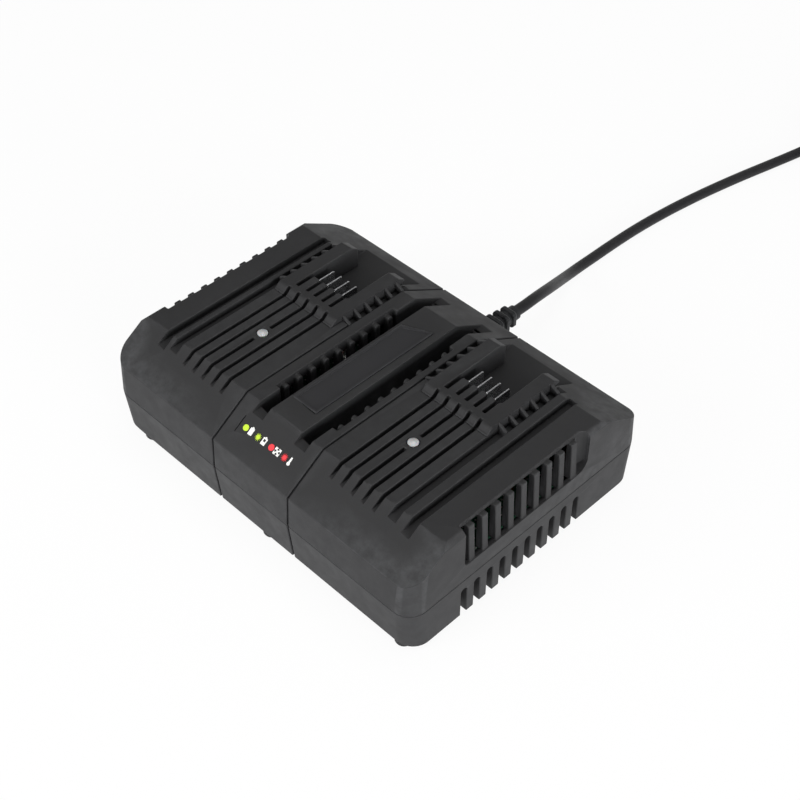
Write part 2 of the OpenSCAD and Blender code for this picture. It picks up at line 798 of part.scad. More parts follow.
module lower_base() {
    color("#333436")
    difference() {
        union() {
            difference() {
                intersection() {
                    base_form(0);
                    block([-far, -far, 0], [far, far, part_z - joint_gap]);
                }
                base_form(wall_t);
            }
            joint_lip();
            both_sides() fin_wall();
            intersection() {
                base_form(wall_t / 2);
                for (p = screws)
                    translate([p[0], p[1], base_z]) cylinder(r = boss_r, h = base_h);
            }
            for (p = standoffs)
                translate([p[0], p[1], base_z + 1]) cylinder(d = 7, h = wall_t - 1 + standoff_h);
            block([-clamp_w / 2, clamp_y - clamp_d / 2, base_z + 1],
                [clamp_w / 2, clamp_y + clamp_d / 2, cord_z]);
            for (y = [-1, 1])
                block([fan_x - 3, fan_y + y * guide_y - guide_t / 2, base_z + 1],
                    [fan_x + fan_t + 3, fan_y + y * guide_y + guide_t / 2, ear_z]);
            block([fan_x, fan_y - fan_w / 2, base_z + 1],
                [fan_x + fan_t, fan_y + fan_w / 2, fan_z - fan_w / 2]);
        }
        seams();
        base_slots(rib_mid_y - rib_skew);
        mirror([1, 0, 0]) base_slots(rib_mid_y + rib_skew);
        for (p = screws) {
            translate([p[0], p[1], 0]) cylinder(d = screw_d + 0.4, h = far);
            translate([p[0], p[1], 0]) cylinder(d = screw_head_d + 0.6, h = screw_seat_z);
        }
        for (p = feet)
            translate([p[0], p[1], 0]) cylinder(d = foot_stem_d, h = base_z + wall_t - 1);
        for (x = [-1, 1])
            translate([x * keyhole_pitch / 2, 0, 0]) keyhole();
        for (p = standoffs)
            translate([p[0], p[1], base_z + 2]) cylinder(d = 2.5, h = far);
        translate([0, clamp_y - clamp_d, cord_z]) rotate([-90, 0, 0])
            cylinder(d = cord_d, h = clamp_d * 2);
        for (x = [-clamp_screw_u, clamp_screw_u])
            translate([x, clamp_y, cord_z - 10]) cylinder(d = 2.5, h = 20);
        for (y = [-1, 1])
            translate([fan_x + fan_t / 2, fan_y + y * guide_y, ear_z - 9])
                cylinder(d = 2.3, h = 20);
        gland_cut();
    }
}

// ---- feet, screws and marks ----

module rubber_feet() {
    color("#1d1d1e")
    for (p = feet)
        translate([p[0], p[1], 0]) {
            cylinder(d1 = foot_d - 1, d2 = foot_d, h = 1);
            translate([0, 0, 1]) cylinder(d = foot_d, h = base_z - 1);
            cylinder(d = foot_stem_d - 0.2, h = base_z + wall_t - 1.2);
        }
}

module housing_screws() {
    color("silver")
    for (p = screws)
        translate([p[0], p[1], screw_seat_z]) screw(screw_d, screw_l, screw_head_d, 2.2);
}

// Badge outline: a long plate with one slanted end, on the middle of the plateau
module badge_plan(t) {
    polygon([[badge_x[0] + t, badge_front_y + t], [badge_x[1] - t, badge_front_y + t],
        [badge_x[1] - t, badge_rear_y[1] - t], [badge_x[0] + t, badge_rear_y[0] - t * 1.2]]);
}

module badge_recess() {
    translate([0, 0, top_z - badge_sink]) linear_extrude(height = badge_h) badge_plan(0);
}

module centre_badge() {
    color("#343538")
    translate([0, 0, top_z - badge_sink]) difference() {
        linear_extrude(height = badge_h) badge_plan(seat_gap);
        translate([0, 0, badge_sink - 0.1]) linear_extrude(height = badge_h) badge_plan(badge_rim_w);
    }
}

module star(r, points) {
    polygon([for (i = [0:2 * points - 1])
        (i % 2 == 0 ? r : r * mark_star_share) * [cos(180 * i / points), sin(180 * i / points)]]);
}

module legend_disc(x) {
    on_front_slope(x, mark_y) cylinder(d = mark_disc_d, h = mark_t);
}

module legend_star(x) {
    on_front_slope(x, mark_y) linear_extrude(height = mark_t) star(mark_star_r, 12);
}

module legend_green() {
    color("#c8e24a") {
        legend_disc(-18.1);
        legend_star(-8.2);
    }
}

module legend_red() {
    color("#e8484e") {
        legend_disc(2.4);
        legend_star(12.7);
    }
}

// Flat picture printed on the slope
module pictogram(x) {
    on_front_slope(x, mark_y) linear_extrude(height = mark_t) scale([mark_share, mark_share]) children();
}

// Fine line cut into the slope beside the legend
module mark_line() {
    on_front_slope(mark_line_x, mark_y)
        translate([-mark_line_w / 2, -mark_line_l / 2, -0.5]) cube([mark_line_w, mark_line_l, 2]);
}

// Upright cell with a nub on its top, drawn on the slope
module cell_mark(w, h) {
    translate([-w / 2, -h / 2]) square([w, h]);
    translate([-w / 5, h / 2 - eps]) square([w * 0.4, h * 0.16]);
}

module legend_white() {
    color("#f2f2ee") {
        pictogram(-13.9) cell_mark(3, 4.6);
        pictogram(-3.6) difference() {
            cell_mark(3.2, 4.6);
            translate([-0.9, -0.2]) square([1.8, 1.7]);
        }
        pictogram(6.9) difference() {
            square([4.6, 4.6], center = true);
            for (a = [0:90:270]) rotate([0, 0, a]) translate([1.5, 0]) circle(d = 2, $fn = 4);
        }
        pictogram(16.8) {
            translate([0, -1.5]) circle(d = 2.2);
            translate([-0.6, -1.5]) square([1.2, 4.2]);
        }
    }
}

// ---- indicator lenses and lamp boards ----

module indicator_lens(x) {
    color("#b9babb")
    translate([x, lens_y, 0]) {
        translate([0, 0, roof_z - 1]) cylinder(d = lens_d + 2.4, h = 1);
        translate([0, 0, roof_z - 1]) cylinder(d = lens_dome_d, h = bay_roof_t + 1);
        translate([0, 0, top_z]) intersection() {
            translate([0, 0, lens_rise - lens_dome_d * 0.65]) sphere(r = lens_dome_d * 0.65);
            cylinder(d = lens_dome_d, h = lens_rise + 1);
        }
    }
}

module lamp_board(x) {
    color("#1f5b3a")
    translate([x, lens_y, lamp_board_z]) {
        difference() {
            translate([-6, -lamp_peg_y - 3, 0]) cube([12, 2 * lamp_peg_y + 6, board_t]);
            for (y = [-lamp_peg_y, lamp_peg_y])
                translate([0, y, -1]) cylinder(d = 2.2, h = board_t + 2);
        }
        translate([0, 0, board_t]) cylinder(d = 4.8, h = 1);
        translate([0, 0, board_t]) cylinder(d = 4, h = 3.4);
    }
}

// ---- terminal blocks ----

// Rib across a rail groove on the +u side, from the block's edge down to the plateau
module groove_tooth(y) {
    floor_z = top_z - rail_depth + 0.1;
    foot_u = rail_u + rail_w - seat_gap;
    along_y(y, y + tooth_t)
        polygon([[rail_u + seat_gap, floor_z], [foot_u, floor_z], [foot_u, top_z - 0.2],
            [rail_u, block_z - 0.3], [rail_u - 1, block_z - 0.3], [rail_u - 1, flange_z + seat_gap],
            [rail_u + seat_gap, flange_z + seat_gap]]);
}

// Softly curved ramp from the plateau up to the block's top, from its upper end to its foot
ramp_line = [for (i = [ramp_steps:-1:0])
    let (u = i / ramp_steps, rise = u * u * (3 - 2 * u))
    [block_front_y + seat_gap + u * (ramp_d - seat_gap), top_z + 0.1 + rise * (block_rise - 0.1)]];

module block_body() {
    // flange with the ramp at its front
    along_x(-rail_u + seat_gap, rail_u - seat_gap)
        polygon(concat([[block_front_y + seat_gap, flange_z], [block_rear_y, flange_z],
            [block_rear_y, block_z]], ramp_line));
    // body in the opening
    block([-block_u + seat_gap, open_front_y + seat_gap, block_floor_z],
        [block_u - seat_gap, block_rear_y - seat_gap, flange_z + 1]);
    // arms behind, standing on the deck
    both_sides() {
        along_x(pit_u, rail_u - seat_gap)
            polygon([[block_rear_y - 1, flange_z], [arm_rear_y, flange_z], [arm_rear_y, top_z + 0.1],
                [arm_rear_y - ramp_d, block_z], [block_rear_y - 1, block_z]]);
        block([pit_u, block_rear_y - 1, deck_z + seat_gap], [block_u - seat_gap, arm_rear_y, flange_z + 1]);
    }
}

module blade_row() {
    for (i = [0:blade_n - 1])
        translate([(i - (blade_n - 1) / 2) * blade_pitch, 0, 0]) children();
}

module terminal_block(x) {
    color("#2a2b2d")
    translate([x, 0, 0]) {
        difference() {
            block_body();
            // pit round the blades, open to the rear over the deck
            block([-pit_u, pit_front_y, pit_z], [pit_u, pit_rear_y + 1, far]);
            block([-pit_u, pit_rear_y, deck_z], [pit_u, arm_rear_y, far]);
            blade_row() {
                translate([-blade_t / 2 - 0.05, blade_y - blade_l / 2 - 0.05, 0])
                    cube([blade_t + 0.1, blade_l + 0.1, far]);
                block([(blade_pitch - comb_w) / 2, comb_front_y, comb_z],
                    [(blade_pitch + comb_w) / 2, comb_rear_y, far]);
            }
            block([-pit_u - 0.1, comb_front_y - 0.6, comb_z], [-pit_u + comb_side_w, comb_rear_y, far]);
            for (i = [0:bay_slot_n - 1])
                translate([(i - (bay_slot_n - 1) / 2) * bay_slot_pitch - bay_slot_w / 2, 0, top_z - 3])
                    cube([bay_slot_w, block_front_y + ramp_d + 1, far]);
            for (s = [-1, 1])
                translate([s * bay_screw_u, bay_board_y, block_floor_z - 1]) cylinder(d = 2.3, h = 6);
        }
        for (i = [0:tooth_n - 1])
            both_sides() groove_tooth(tooth_front_y + i * tooth_pitch);
    }
}

module contact_blades(x) {
    color("#e4e6e8")
    translate([x, 0, 0]) blade_row()
        translate([0, blade_y - blade_l / 2, bay_board_top]) rotate([90, 0, 90])
            translate([0, 0, -blade_t / 2]) linear_extrude(height = blade_t)
                polygon([[0, 0], [blade_l, 0], [blade_l, blade_top_z - bay_board_top - blade_chamfer],
                    [blade_l - blade_chamfer, blade_top_z - bay_board_top],
                    [blade_chamfer, blade_top_z - bay_board_top],
                    [0, blade_top_z - bay_board_top - blade_chamfer]]);
}

module bay_board(x) {
    color("#1f5b3a")
    translate([x, bay_board_y, bay_board_z]) difference() {
        translate([-bay_board_w / 2, -bay_board_d / 2, 0]) cube([bay_board_w, bay_board_d, board_t]);
        for (s = [-1, 1])
            translate([s * bay_screw_u, 0, -1]) cylinder(d = 2.6, h = board_t + 2);
    }
}

module bay_board_screws() {
    color("silver")
    for (x = bays, s = [-1, 1])
        translate([x + s * bay_screw_u, bay_board_y, bay_board_z]) screw(2.2, 6, 4, 1.4);
}

// ---- inside: output wires, board and what it carries ----

module wire_row(x) {
    for (i = [0:wire_n - 1])
        translate([x + (i - (wire_n - 1) / 2) * wire_pitch, socket_y, 0]) children();
}

module output_wires() {
    color("#b3261e")
    for (x = bays)
        wire_row(x)
            translate([0, 0, board_top + socket_h])
                cylinder(d = wire_d, h = bay_board_z - board_top - socket_h);
}

module wire_sockets() {
    color("#efeee6")
    for (x = bays)
        difference() {
            block([x - socket_w / 2, socket_y - socket_d / 2, board_top],
                [x + socket_w / 2, socket_y + socket_d / 2, board_top + socket_h]);
            wire_row(x)
                translate([-wire_d * 0.6, -socket_d / 2 + 1.4, board_top + socket_h - 2.5])
                    cube([wire_d * 1.2, 1, 4]);
        }
}

module main_board() {
    color("#1f5b3a")
    difference() {
        translate([board_x - board_w / 2, -board_d / 2, board_z]) cube([board_w, board_d, board_t]);
        for (p = standoffs)
            translate([p[0], p[1], 0]) cylinder(d = 3.2, h = far);
    }
}

module board_screws() {
    color("silver")
    for (p = standoffs)
        translate([p[0], p[1], board_top]) rotate([180, 0, 0]) screw(2.4, 6, 5, 1.8);
}

module transformer_core() {
    window_w = (core_w - 2 * yoke_t - leg_w) / 2;
    color("#3c3c40")
    translate([transformer_at[0], transformer_at[1], board_top + yoke_lift]) difference() {
        translate([-core_w / 2, -core_d / 2, 0]) cube([core_w, core_d, core_h]);
        for (s = [-1, 1])
            translate([s * (leg_w + window_w) / 2, 0, core_h / 2])
                cube([window_w, core_d + 1, core_h - 2 * yoke_t], center = true);
    }
}

module transformer_winding() {
    color("#d9b13b")
    translate([transformer_at[0], transformer_at[1], board_top]) {
        translate([0, 0, yoke_lift + yoke_t + 0.2]) difference() {
            rounded_block(core_w - 2 * yoke_t - 0.6, core_d + 12, core_h - 2 * yoke_t - 0.4, 4);
            translate([-leg_w / 2 - 0.3, -core_d / 2 - 0.3, -1])
                cube([leg_w + 0.6, core_d + 0.6, core_h]);
        }
        for (y = [-1, 1])
            translate([-core_w / 2, y * (core_d / 2 + 3) - 2.5, 0])
                cube([core_w, 5, yoke_lift + yoke_t + 0.3]);
    }
}

// Upright can with a groove near its foot
module can(at, d, h) {
    translate([at[0], at[1], board_top]) {
        cylinder(d = d, h = h * 0.08);
        translate([0, 0, h * 0.08]) cylinder(d = d - 0.8, h = h * 0.05);
        translate([0, 0, h * 0.12]) cylinder(d = d, h = h * 0.88);
    }
}

module input_capacitors() {
    color("#23324f")
    for (p = input_cap_at) can(p, input_cap_d, input_cap_h);
}

module output_capacitors() {
    color("#2b2b2b")
    for (i = [0:output_cap_n - 1])
        can(output_cap_at + [0, output_cap_pitch * i], output_cap_d, output_cap_h);
}

// Finned sink standing on the board, with its flat face towards -Y
module heat_sink(at, w) {
    color("#b9bcc0")
    translate([at[0], at[1], board_top]) {
        translate([-w / 2, 0, 0]) cube([w, sink_t, sink_h]);
        for (i = [0:floor(w / fin_pitch) - 1])
            translate([-w / 2 + i * fin_pitch + 2, sink_t - 0.5, 0]) cube([fin_t, fin_l, sink_h]);
    }
}

module primary_heat_sink() { heat_sink(primary_sink_at, primary_sink_w); }

module secondary_heat_sink() { heat_sink(secondary_sink_at, secondary_sink_w); }

// Flat power package standing on the board, with its back against a sink's face at the place given
module power_package(at) {
    color("#1c1c1e")
    translate([at[0], at[1] - package_t, board_top]) {
        translate([-package_w / 2, 0, package_lift]) cube([package_w, package_t, 9]);
        difference() {
            translate([-package_w / 2, package_t - 1.3, package_lift + 9]) cube([package_w, 1.3, 6.4]);
            translate([0, package_t + 1, package_lift + 12.4]) rotate([90, 0, 0]) cylinder(d = 3.4, h = 4);
        }
        for (i = [-1:1])
            translate([i * 2.54 - 0.4, package_t / 2, 0]) cube([0.8, 0.6, package_lift + 0.1]);
    }
}

module power_transistors() {
    for (u = [-0.22, 0.22]) power_package(primary_sink_at + [u * primary_sink_w, 0]);
}

module output_rectifiers() {
    for (u = [-0.28, 0, 0.28]) power_package(secondary_sink_at + [u * secondary_sink_w, 0]);
}

module choke_ring(r, w, h) {
    rotate_extrude() translate([r - w / 2, -h / 2]) square([w, h]);
}

module choke_core() {
    color("#3f6f4a")
    translate([choke_at[0], choke_at[1], choke_z]) rotate([0, 90, 0])
        choke_ring(choke_core_r, choke_ring_w, choke_t);
}

module choke_windings() {
    color("#b8652b")
    translate([choke_at[0], choke_at[1], choke_z]) {
        rotate([0, 90, 0]) difference() {
            choke_ring(choke_core_r, choke_ring_w + 3, choke_t + 3);
            choke_ring(choke_core_r, choke_ring_w + 0.2, choke_t + 0.2);
            cube([far, 6, far], center = true);
        }
        for (y = [-1, 1])
            translate([0, y * 5, board_top - choke_z]) cylinder(d = 1.4, h = choke_lift + 1);
    }
}

module fuse() {
    translate([fuse_at[0], fuse_at[1], board_top]) {
        translate([0, 0, 4]) rotate([0, 90, 0]) {
            color("#dfe6e8") cylinder(d = fuse_d, h = fuse_l);
            color("silver") for (z = [0, fuse_l - fuse_cap_l]) translate([0, 0, z])
                cylinder(d = fuse_d + 0.6, h = fuse_cap_l);
        }
        color("silver")
        for (x = [0.5, fuse_l - fuse_cap_l + 0.5]) translate([x, -2, 0]) cube([fuse_cap_l - 1, 4, 2]);
    }
}

module line_capacitor() {
    color("#e3c034")
    translate([line_cap_at[0], line_cap_at[1], board_top])
        rounded_block(line_cap_w, line_cap_d, line_cap_h, 1.5);
}

module varistor() {
    color("#3a6ea8")
    translate([varistor_at[0], varistor_at[1], board_top]) {
        translate([0, varistor_t / 2, varistor_lift + varistor_d / 2]) rotate([90, 0, 0])
            cylinder(d = varistor_d, h = varistor_t);
        for (x = [-3, 3]) translate([x, 0, 0]) cylinder(d = 0.9, h = varistor_lift + 1.5);
    }
}

module bridge_rectifier() {
    color("#1c1c1e")
    translate([bridge_at[0], bridge_at[1], board_top]) {
        translate([0, 0, bridge_lift]) along_y(-bridge_t / 2, bridge_t / 2)
            polygon([[-bridge_w / 2, 0], [bridge_w / 2, 0], [bridge_w / 2, bridge_h],
                [-bridge_w / 2 + 3, bridge_h], [-bridge_w / 2, bridge_h - 3]]);
        for (i = [-1.5:1.5]) translate([i * bridge_w / 4, 0, 0]) cylinder(d = 1.1, h = bridge_lift + 0.2);
    }
}

module controller_chip() {
    color("#1c1c1e")
    translate([chip_at[0], chip_at[1], board_top]) {
        translate([-chip_w / 2, -chip_w / 2, 0.1]) cube([chip_w, chip_w, chip_t]);
        for (a = [0:90:270], i = [0:chip_pin_n - 1])
            rotate([0, 0, a])
                translate([chip_w / 2 - 0.3, (i - (chip_pin_n - 1) / 2) * chip_pin_pitch - 0.25, 0])
                    cube([1.6, 0.5, 0.4]);
    }
}

module inlet_terminal() {
    color("#2f7a45")
    difference() {
        block([-inlet_w / 2, inlet_y - inlet_d / 2, board_top],
            [inlet_w / 2, inlet_y + inlet_d / 2, board_top + inlet_h]);
        for (x = [-inlet_wire_u, inlet_wire_u]) {
            translate([x, inlet_y + inlet_d / 2 + 1, inlet_hole_z]) rotate([90, 0, 0])
                cylinder(d = wire_d + 0.6, h = inlet_d * 0.7);
            translate([x, inlet_y, board_top + inlet_h - 3]) cylinder(d = 4, h = 4);
        }
    }
}

// The two cores of the cord, from the end of its jacket down into the inlet terminal
module mains_wires() {
    face_y = inlet_y + inlet_d / 2;
    drop_y = face_y + 2.4;
    color("#6b4a2b")
    for (s = [-1, 1])
        tube([[s * 1.6, core_end_y, cord_z], [s * 1.6, core_end_y - 0.6, cord_z],
            [s * 1.9, drop_y + 0.4, cord_z - 0.8], [s * 3, drop_y, cord_z - 4],
            [s * 3.6, drop_y, inlet_hole_z + 4], [s * inlet_wire_u, drop_y - 0.4, inlet_hole_z + 1.4],
            [s * inlet_wire_u, drop_y - 1.2, inlet_hole_z + 0.3],
            [s * inlet_wire_u, face_y + 0.4, inlet_hole_z],
            [s * inlet_wire_u, face_y - inlet_d * 0.4, inlet_hole_z]], wire_d, 8, [1, 0, 0]);
}

// ---- mains cord ----

module cord_core() {
    color("#1b1b1c")
    translate([0, core_start_y, cord_z]) rotate([90, 0, 0])
        cylinder(d = cord_d, h = core_start_y - core_end_y);
}

module cord_clamp() {
    color("#3a3b3d")
    difference() {
        block([-clamp_w / 2, clamp_y - clamp_d / 2, cord_z],
            [clamp_w / 2, clamp_y + clamp_d / 2, cord_z + clamp_h]);
        translate([0, clamp_y - clamp_d, cord_z]) rotate([-90, 0, 0])
            cylinder(d = cord_d, h = clamp_d * 2);
        for (x = [-clamp_screw_u, clamp_screw_u]) translate([x, clamp_y, 0]) cylinder(d = 3, h = far);
    }
}

module clamp_screws() {
    color("silver")
    for (x = [-clamp_screw_u, clamp_screw_u])
        translate([x, clamp_y, cord_z + clamp_h]) rotate([180, 0, 0]) screw(2.4, 14, 4.6, 1.8);
}

// Ribbed boot, stepped down towards its free end, with a collar on both faces of the rear wall
module cord_strain_relief() {
    rib_l = boot_l / (2 * boot_rib_n + 1);
    color("#222324")
    translate([0, boot_y, cord_z]) rotate([-90, 0, 0]) {
        translate([0, 0, -wall_t - 4]) cylinder(d = boot_w - 3.3, h = wall_t + 4.5);
        translate([0, 0, -wall_t - 4]) rounded_block(boot_w + 1, boot_w + 1, 2.6, 3);
        translate([0, 0, 0.1]) rounded_block(boot_w, boot_w, rib_l * 1.5, 2.5);
        translate([0, 0, 0.1]) cylinder(d1 = boot_w - 3, d2 = cord_d + 2.4, h = boot_l - 0.1);
        for (i = [1:boot_rib_n - 1])
            translate([0, 0, rib_l * (2 * i + 0.6)])
                rounded_block(boot_w - i * 0.9, boot_w - i * 0.9, rib_l, 2.5);
    }
}

module cord_lead() {
    color("#1b1b1c") tube(lead_points, cord_d, 10);
}

module cord_coil() {
    color("#1b1b1c")
    translate([coil_x, coil_y, coil_low_z]) rotate_extrude()
        translate([coil_in_r, 0]) square([coil_out_r - coil_in_r, coil_top_z - coil_low_z]);
}

module cord_end() {
    color("#1b1b1c") tube(tail_points, cord_d, 10);
}

// Strap round one side of the coil
module cord_tie() {
    color("#2b2b2c")
    translate([coil_x, coil_y, 0]) rotate([0, 0, 20]) difference() {
        block([coil_in_r - tie_t - 0.6, -tie_w / 2, 0],
            [coil_out_r + tie_t + 0.2, tie_w / 2, coil_top_z + tie_t]);
        block([coil_in_r - 0.6, -tie_w, tie_t], [coil_out_r + 0.2, tie_w, coil_top_z]);
    }
}

module plug_body() {
    color("#1b1b1c")
    translate([plug_x, plug_y, plug_z]) rotate([90, 0, 0]) {
        cylinder(d1 = cord_d + 3, d2 = cord_d + 6, h = 9);
        translate([0, 0, 8]) rounded_block(plug_w - 9, plug_h - 2, 5, 4);
        translate([0, 0, 12]) rounded_block(plug_w, plug_h, plug_l - 12, 5);
    }
}

module plug_pins() {
    color("#d8d9db")
    for (s = [-1, 1])
        translate([plug_x + s * plug_pin_pitch / 2, plug_y - plug_l, plug_z]) rotate([90, 0, 0]) {
            cylinder(d = plug_pin_d, h = plug_pin_l - 1.5);
            translate([0, 0, plug_pin_l - 1.5]) cylinder(d1 = plug_pin_d, d2 = plug_pin_d - 1.8, h = 1.5);
        }
}

// ---- fan ----

module fan_frame() {
    color("#26272a")
    translate([fan_x, fan_y, fan_z]) rotate([90, 0, 90]) {
        difference() {
            translate([-fan_w / 2, -fan_w / 2, 0]) cube([fan_w, fan_w, fan_t]);
            translate([0, 0, -1]) cylinder(r = fan_bore_r, h = fan_t + 2);
        }
        cylinder(r = fan_hub_r, h = 1.4);
        for (a = [45:90:315])
            rotate([0, 0, a]) translate([fan_hub_r - 1, -1.2, 0])
                cube([fan_bore_r - fan_hub_r + 2, 2.4, 1.4]);
        cylinder(d = fan_shaft_d, h = fan_t - 1);
        for (s = [-1, 1])
            difference() {
                translate([s * guide_y - ear_w / 2, ear_z - fan_z, fan_t / 2 - 3]) cube([ear_w, ear_t, 6]);
                translate([s * guide_y, 0, fan_t / 2]) rotate([90, 0, 0]) cylinder(d = 2.8, h = far);
            }
    }
}

module fan_rotor() {
    color("#303135")
    translate([fan_x, fan_y, fan_z]) rotate([90, 0, 90]) difference() {
        union() {
            translate([0, 0, 2]) cylinder(r = fan_hub_r, h = fan_t - 2.6);
            intersection() {
                translate([0, 0, 2]) cylinder(r = fan_tip_r, h = fan_t - 2.6);
                for (i = [0:fan_blade_n - 1])
                    rotate([0, 0, 360 * i / fan_blade_n])
                        translate([fan_hub_r - 1, 0, fan_t / 2 + 0.7]) rotate([40, 0, 0])
                            translate([0, -fan_t * 0.7, -0.7]) cube([fan_tip_r, fan_t * 1.4, 1.4]);
            }
        }
        cylinder(r = fan_shaft_d / 2 + fan_run_gap, h = fan_t * 2);
    }
}

module fan_screws() {
    color("silver")
    for (s = [-1, 1])
        translate([fan_x + fan_t / 2, fan_y + s * guide_y, ear_z + ear_t])
            rotate([180, 0, 0]) screw(2.2, 8, 4.2, 1.6);
}

upper_cover();
lower_base();
rubber_feet();
housing_screws();
centre_badge();
legend_green();
legend_red();
legend_white();
indicator_lens(bay_left_x);  // indicator_lens_left
indicator_lens(bay_right_x);  // indicator_lens_right
lamp_board(bay_left_x);  // lamp_board_left
lamp_board(bay_right_x);  // lamp_board_right
terminal_block(bay_left_x);  // terminal_block_left
terminal_block(bay_right_x);  // terminal_block_right
contact_blades(bay_left_x);  // contact_blades_left
contact_blades(bay_right_x);  // contact_blades_right
bay_board(bay_left_x);  // bay_board_left
bay_board(bay_right_x);  // bay_board_right
bay_board_screws();
output_wires();
main_board();
board_screws();
transformer_core();
transformer_winding();
input_capacitors();
output_capacitors();
primary_heat_sink();
secondary_heat_sink();
power_transistors();
output_rectifiers();
choke_core();
choke_windings();
fuse();
line_capacitor();
varistor();
bridge_rectifier();
controller_chip();
wire_sockets();
inlet_terminal();
mains_wires();
cord_core();
cord_clamp();
clamp_screws();
cord_strain_relief();
cord_lead();
cord_coil();
cord_end();
cord_tie();
plug_body();
plug_pins();
fan_frame();
fan_rotor();
fan_screws();
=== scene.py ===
"""Twin-bay battery charger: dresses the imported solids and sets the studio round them."""
import logging
import math
from abc import ABC, abstractmethod
from dataclasses import dataclass
from enum import Enum
from typing import Any, Sequence

import bmesh
import bpy
from mathutils import Matrix, Vector


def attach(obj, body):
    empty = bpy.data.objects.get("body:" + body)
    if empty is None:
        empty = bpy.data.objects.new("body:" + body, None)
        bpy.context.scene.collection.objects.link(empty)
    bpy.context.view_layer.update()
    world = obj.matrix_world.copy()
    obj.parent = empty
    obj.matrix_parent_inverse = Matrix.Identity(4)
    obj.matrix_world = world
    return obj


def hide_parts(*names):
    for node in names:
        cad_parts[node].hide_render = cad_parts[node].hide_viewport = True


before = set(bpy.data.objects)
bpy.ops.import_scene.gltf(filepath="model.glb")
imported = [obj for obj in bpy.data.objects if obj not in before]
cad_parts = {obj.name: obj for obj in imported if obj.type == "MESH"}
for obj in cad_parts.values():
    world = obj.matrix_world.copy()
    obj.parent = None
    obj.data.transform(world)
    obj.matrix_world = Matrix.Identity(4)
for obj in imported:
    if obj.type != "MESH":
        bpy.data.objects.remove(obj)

LOG = logging.getLogger("charger")
MM = 0.001
HOUSING = "housing"

# Constants of the usual curve from screen colours to linear light.
SRGB_KNEE = 0.04045
SRGB_SLOPE = 12.92
SRGB_OFFSET = 0.055
SRGB_POWER = 2.4

# Sockets of a Mix node that mixes colours.
MIX_AMOUNT = 0
MIX_FIRST = 6
MIX_SECOND = 7
MIX_RESULT = 2

# A Wave node's scale times the width of one of its bands in metres.
WAVE_SCALE = 0.314

Colour = tuple[float, float, float]
Point = tuple[float, float, float]
Band = tuple[float, float]
UNIT: Band = (0.0, 1.0)


class Slot(Enum):
    """Finish slots that the part's record names."""

    COVER = "cover_plastic"
    BASE = "base_plastic"
    TERMINAL = "terminal_plastic"
    BADGE = "badge_plastic"
    FOOT = "foot_rubber"
    SCREW = "screw_steel"
    GREEN = "print_green"
    RED = "print_red"
    WHITE = "print_white"
    LENS = "lens_clear"
    BOARD = "circuit_board"
    CONTACT = "contact_metal"
    WIRE_RED = "wire_red"
    FERRITE = "ferrite"
    TAPE = "winding_tape"
    CAN_BLUE = "capacitor_sleeve"
    CAN_BLACK = "capacitor_black"
    SINK = "sink_aluminium"
    EPOXY = "package_epoxy"
    COPPER = "copper_wire"
    CHOKE = "choke_ferrite"
    FUSE = "fuse_glass"
    FILM = "film_yellow"
    VARISTOR = "varistor_blue"
    NYLON = "socket_nylon"
    INLET = "terminal_green"
    WIRE_BROWN = "wire_brown"
    JACKET = "cord_jacket"
    BOOT = "boot_rubber"
    PLUG = "plug_plastic"
    PIN = "pin_metal"
    FAN = "fan_plastic"


class Axis(Enum):
    """Axes that a winding's turns follow one another along."""

    X = "X"
    Z = "Z"


def tone(code: str) -> Colour:
    """Turns a colour written as six hex digits into linear light.

    Args:
        code: The digits, such as "2c2d2f".

    Returns:
        Red, green and blue in linear light.
    """
    channels = (int(code[i:i + 2], 16) / 255 for i in (0, 2, 4))
    return tuple(c / SRGB_SLOPE if c <= SRGB_KNEE
                 else ((c + SRGB_OFFSET) / (1 + SRGB_OFFSET)) ** SRGB_POWER for c in channels)


def shaded(colour: Colour, gain: float, lift: float = 0.0) -> Colour:
    """Returns a colour scaled and lifted, with each channel held at full."""
    return tuple(min(1.0, channel * gain + lift) for channel in colour)


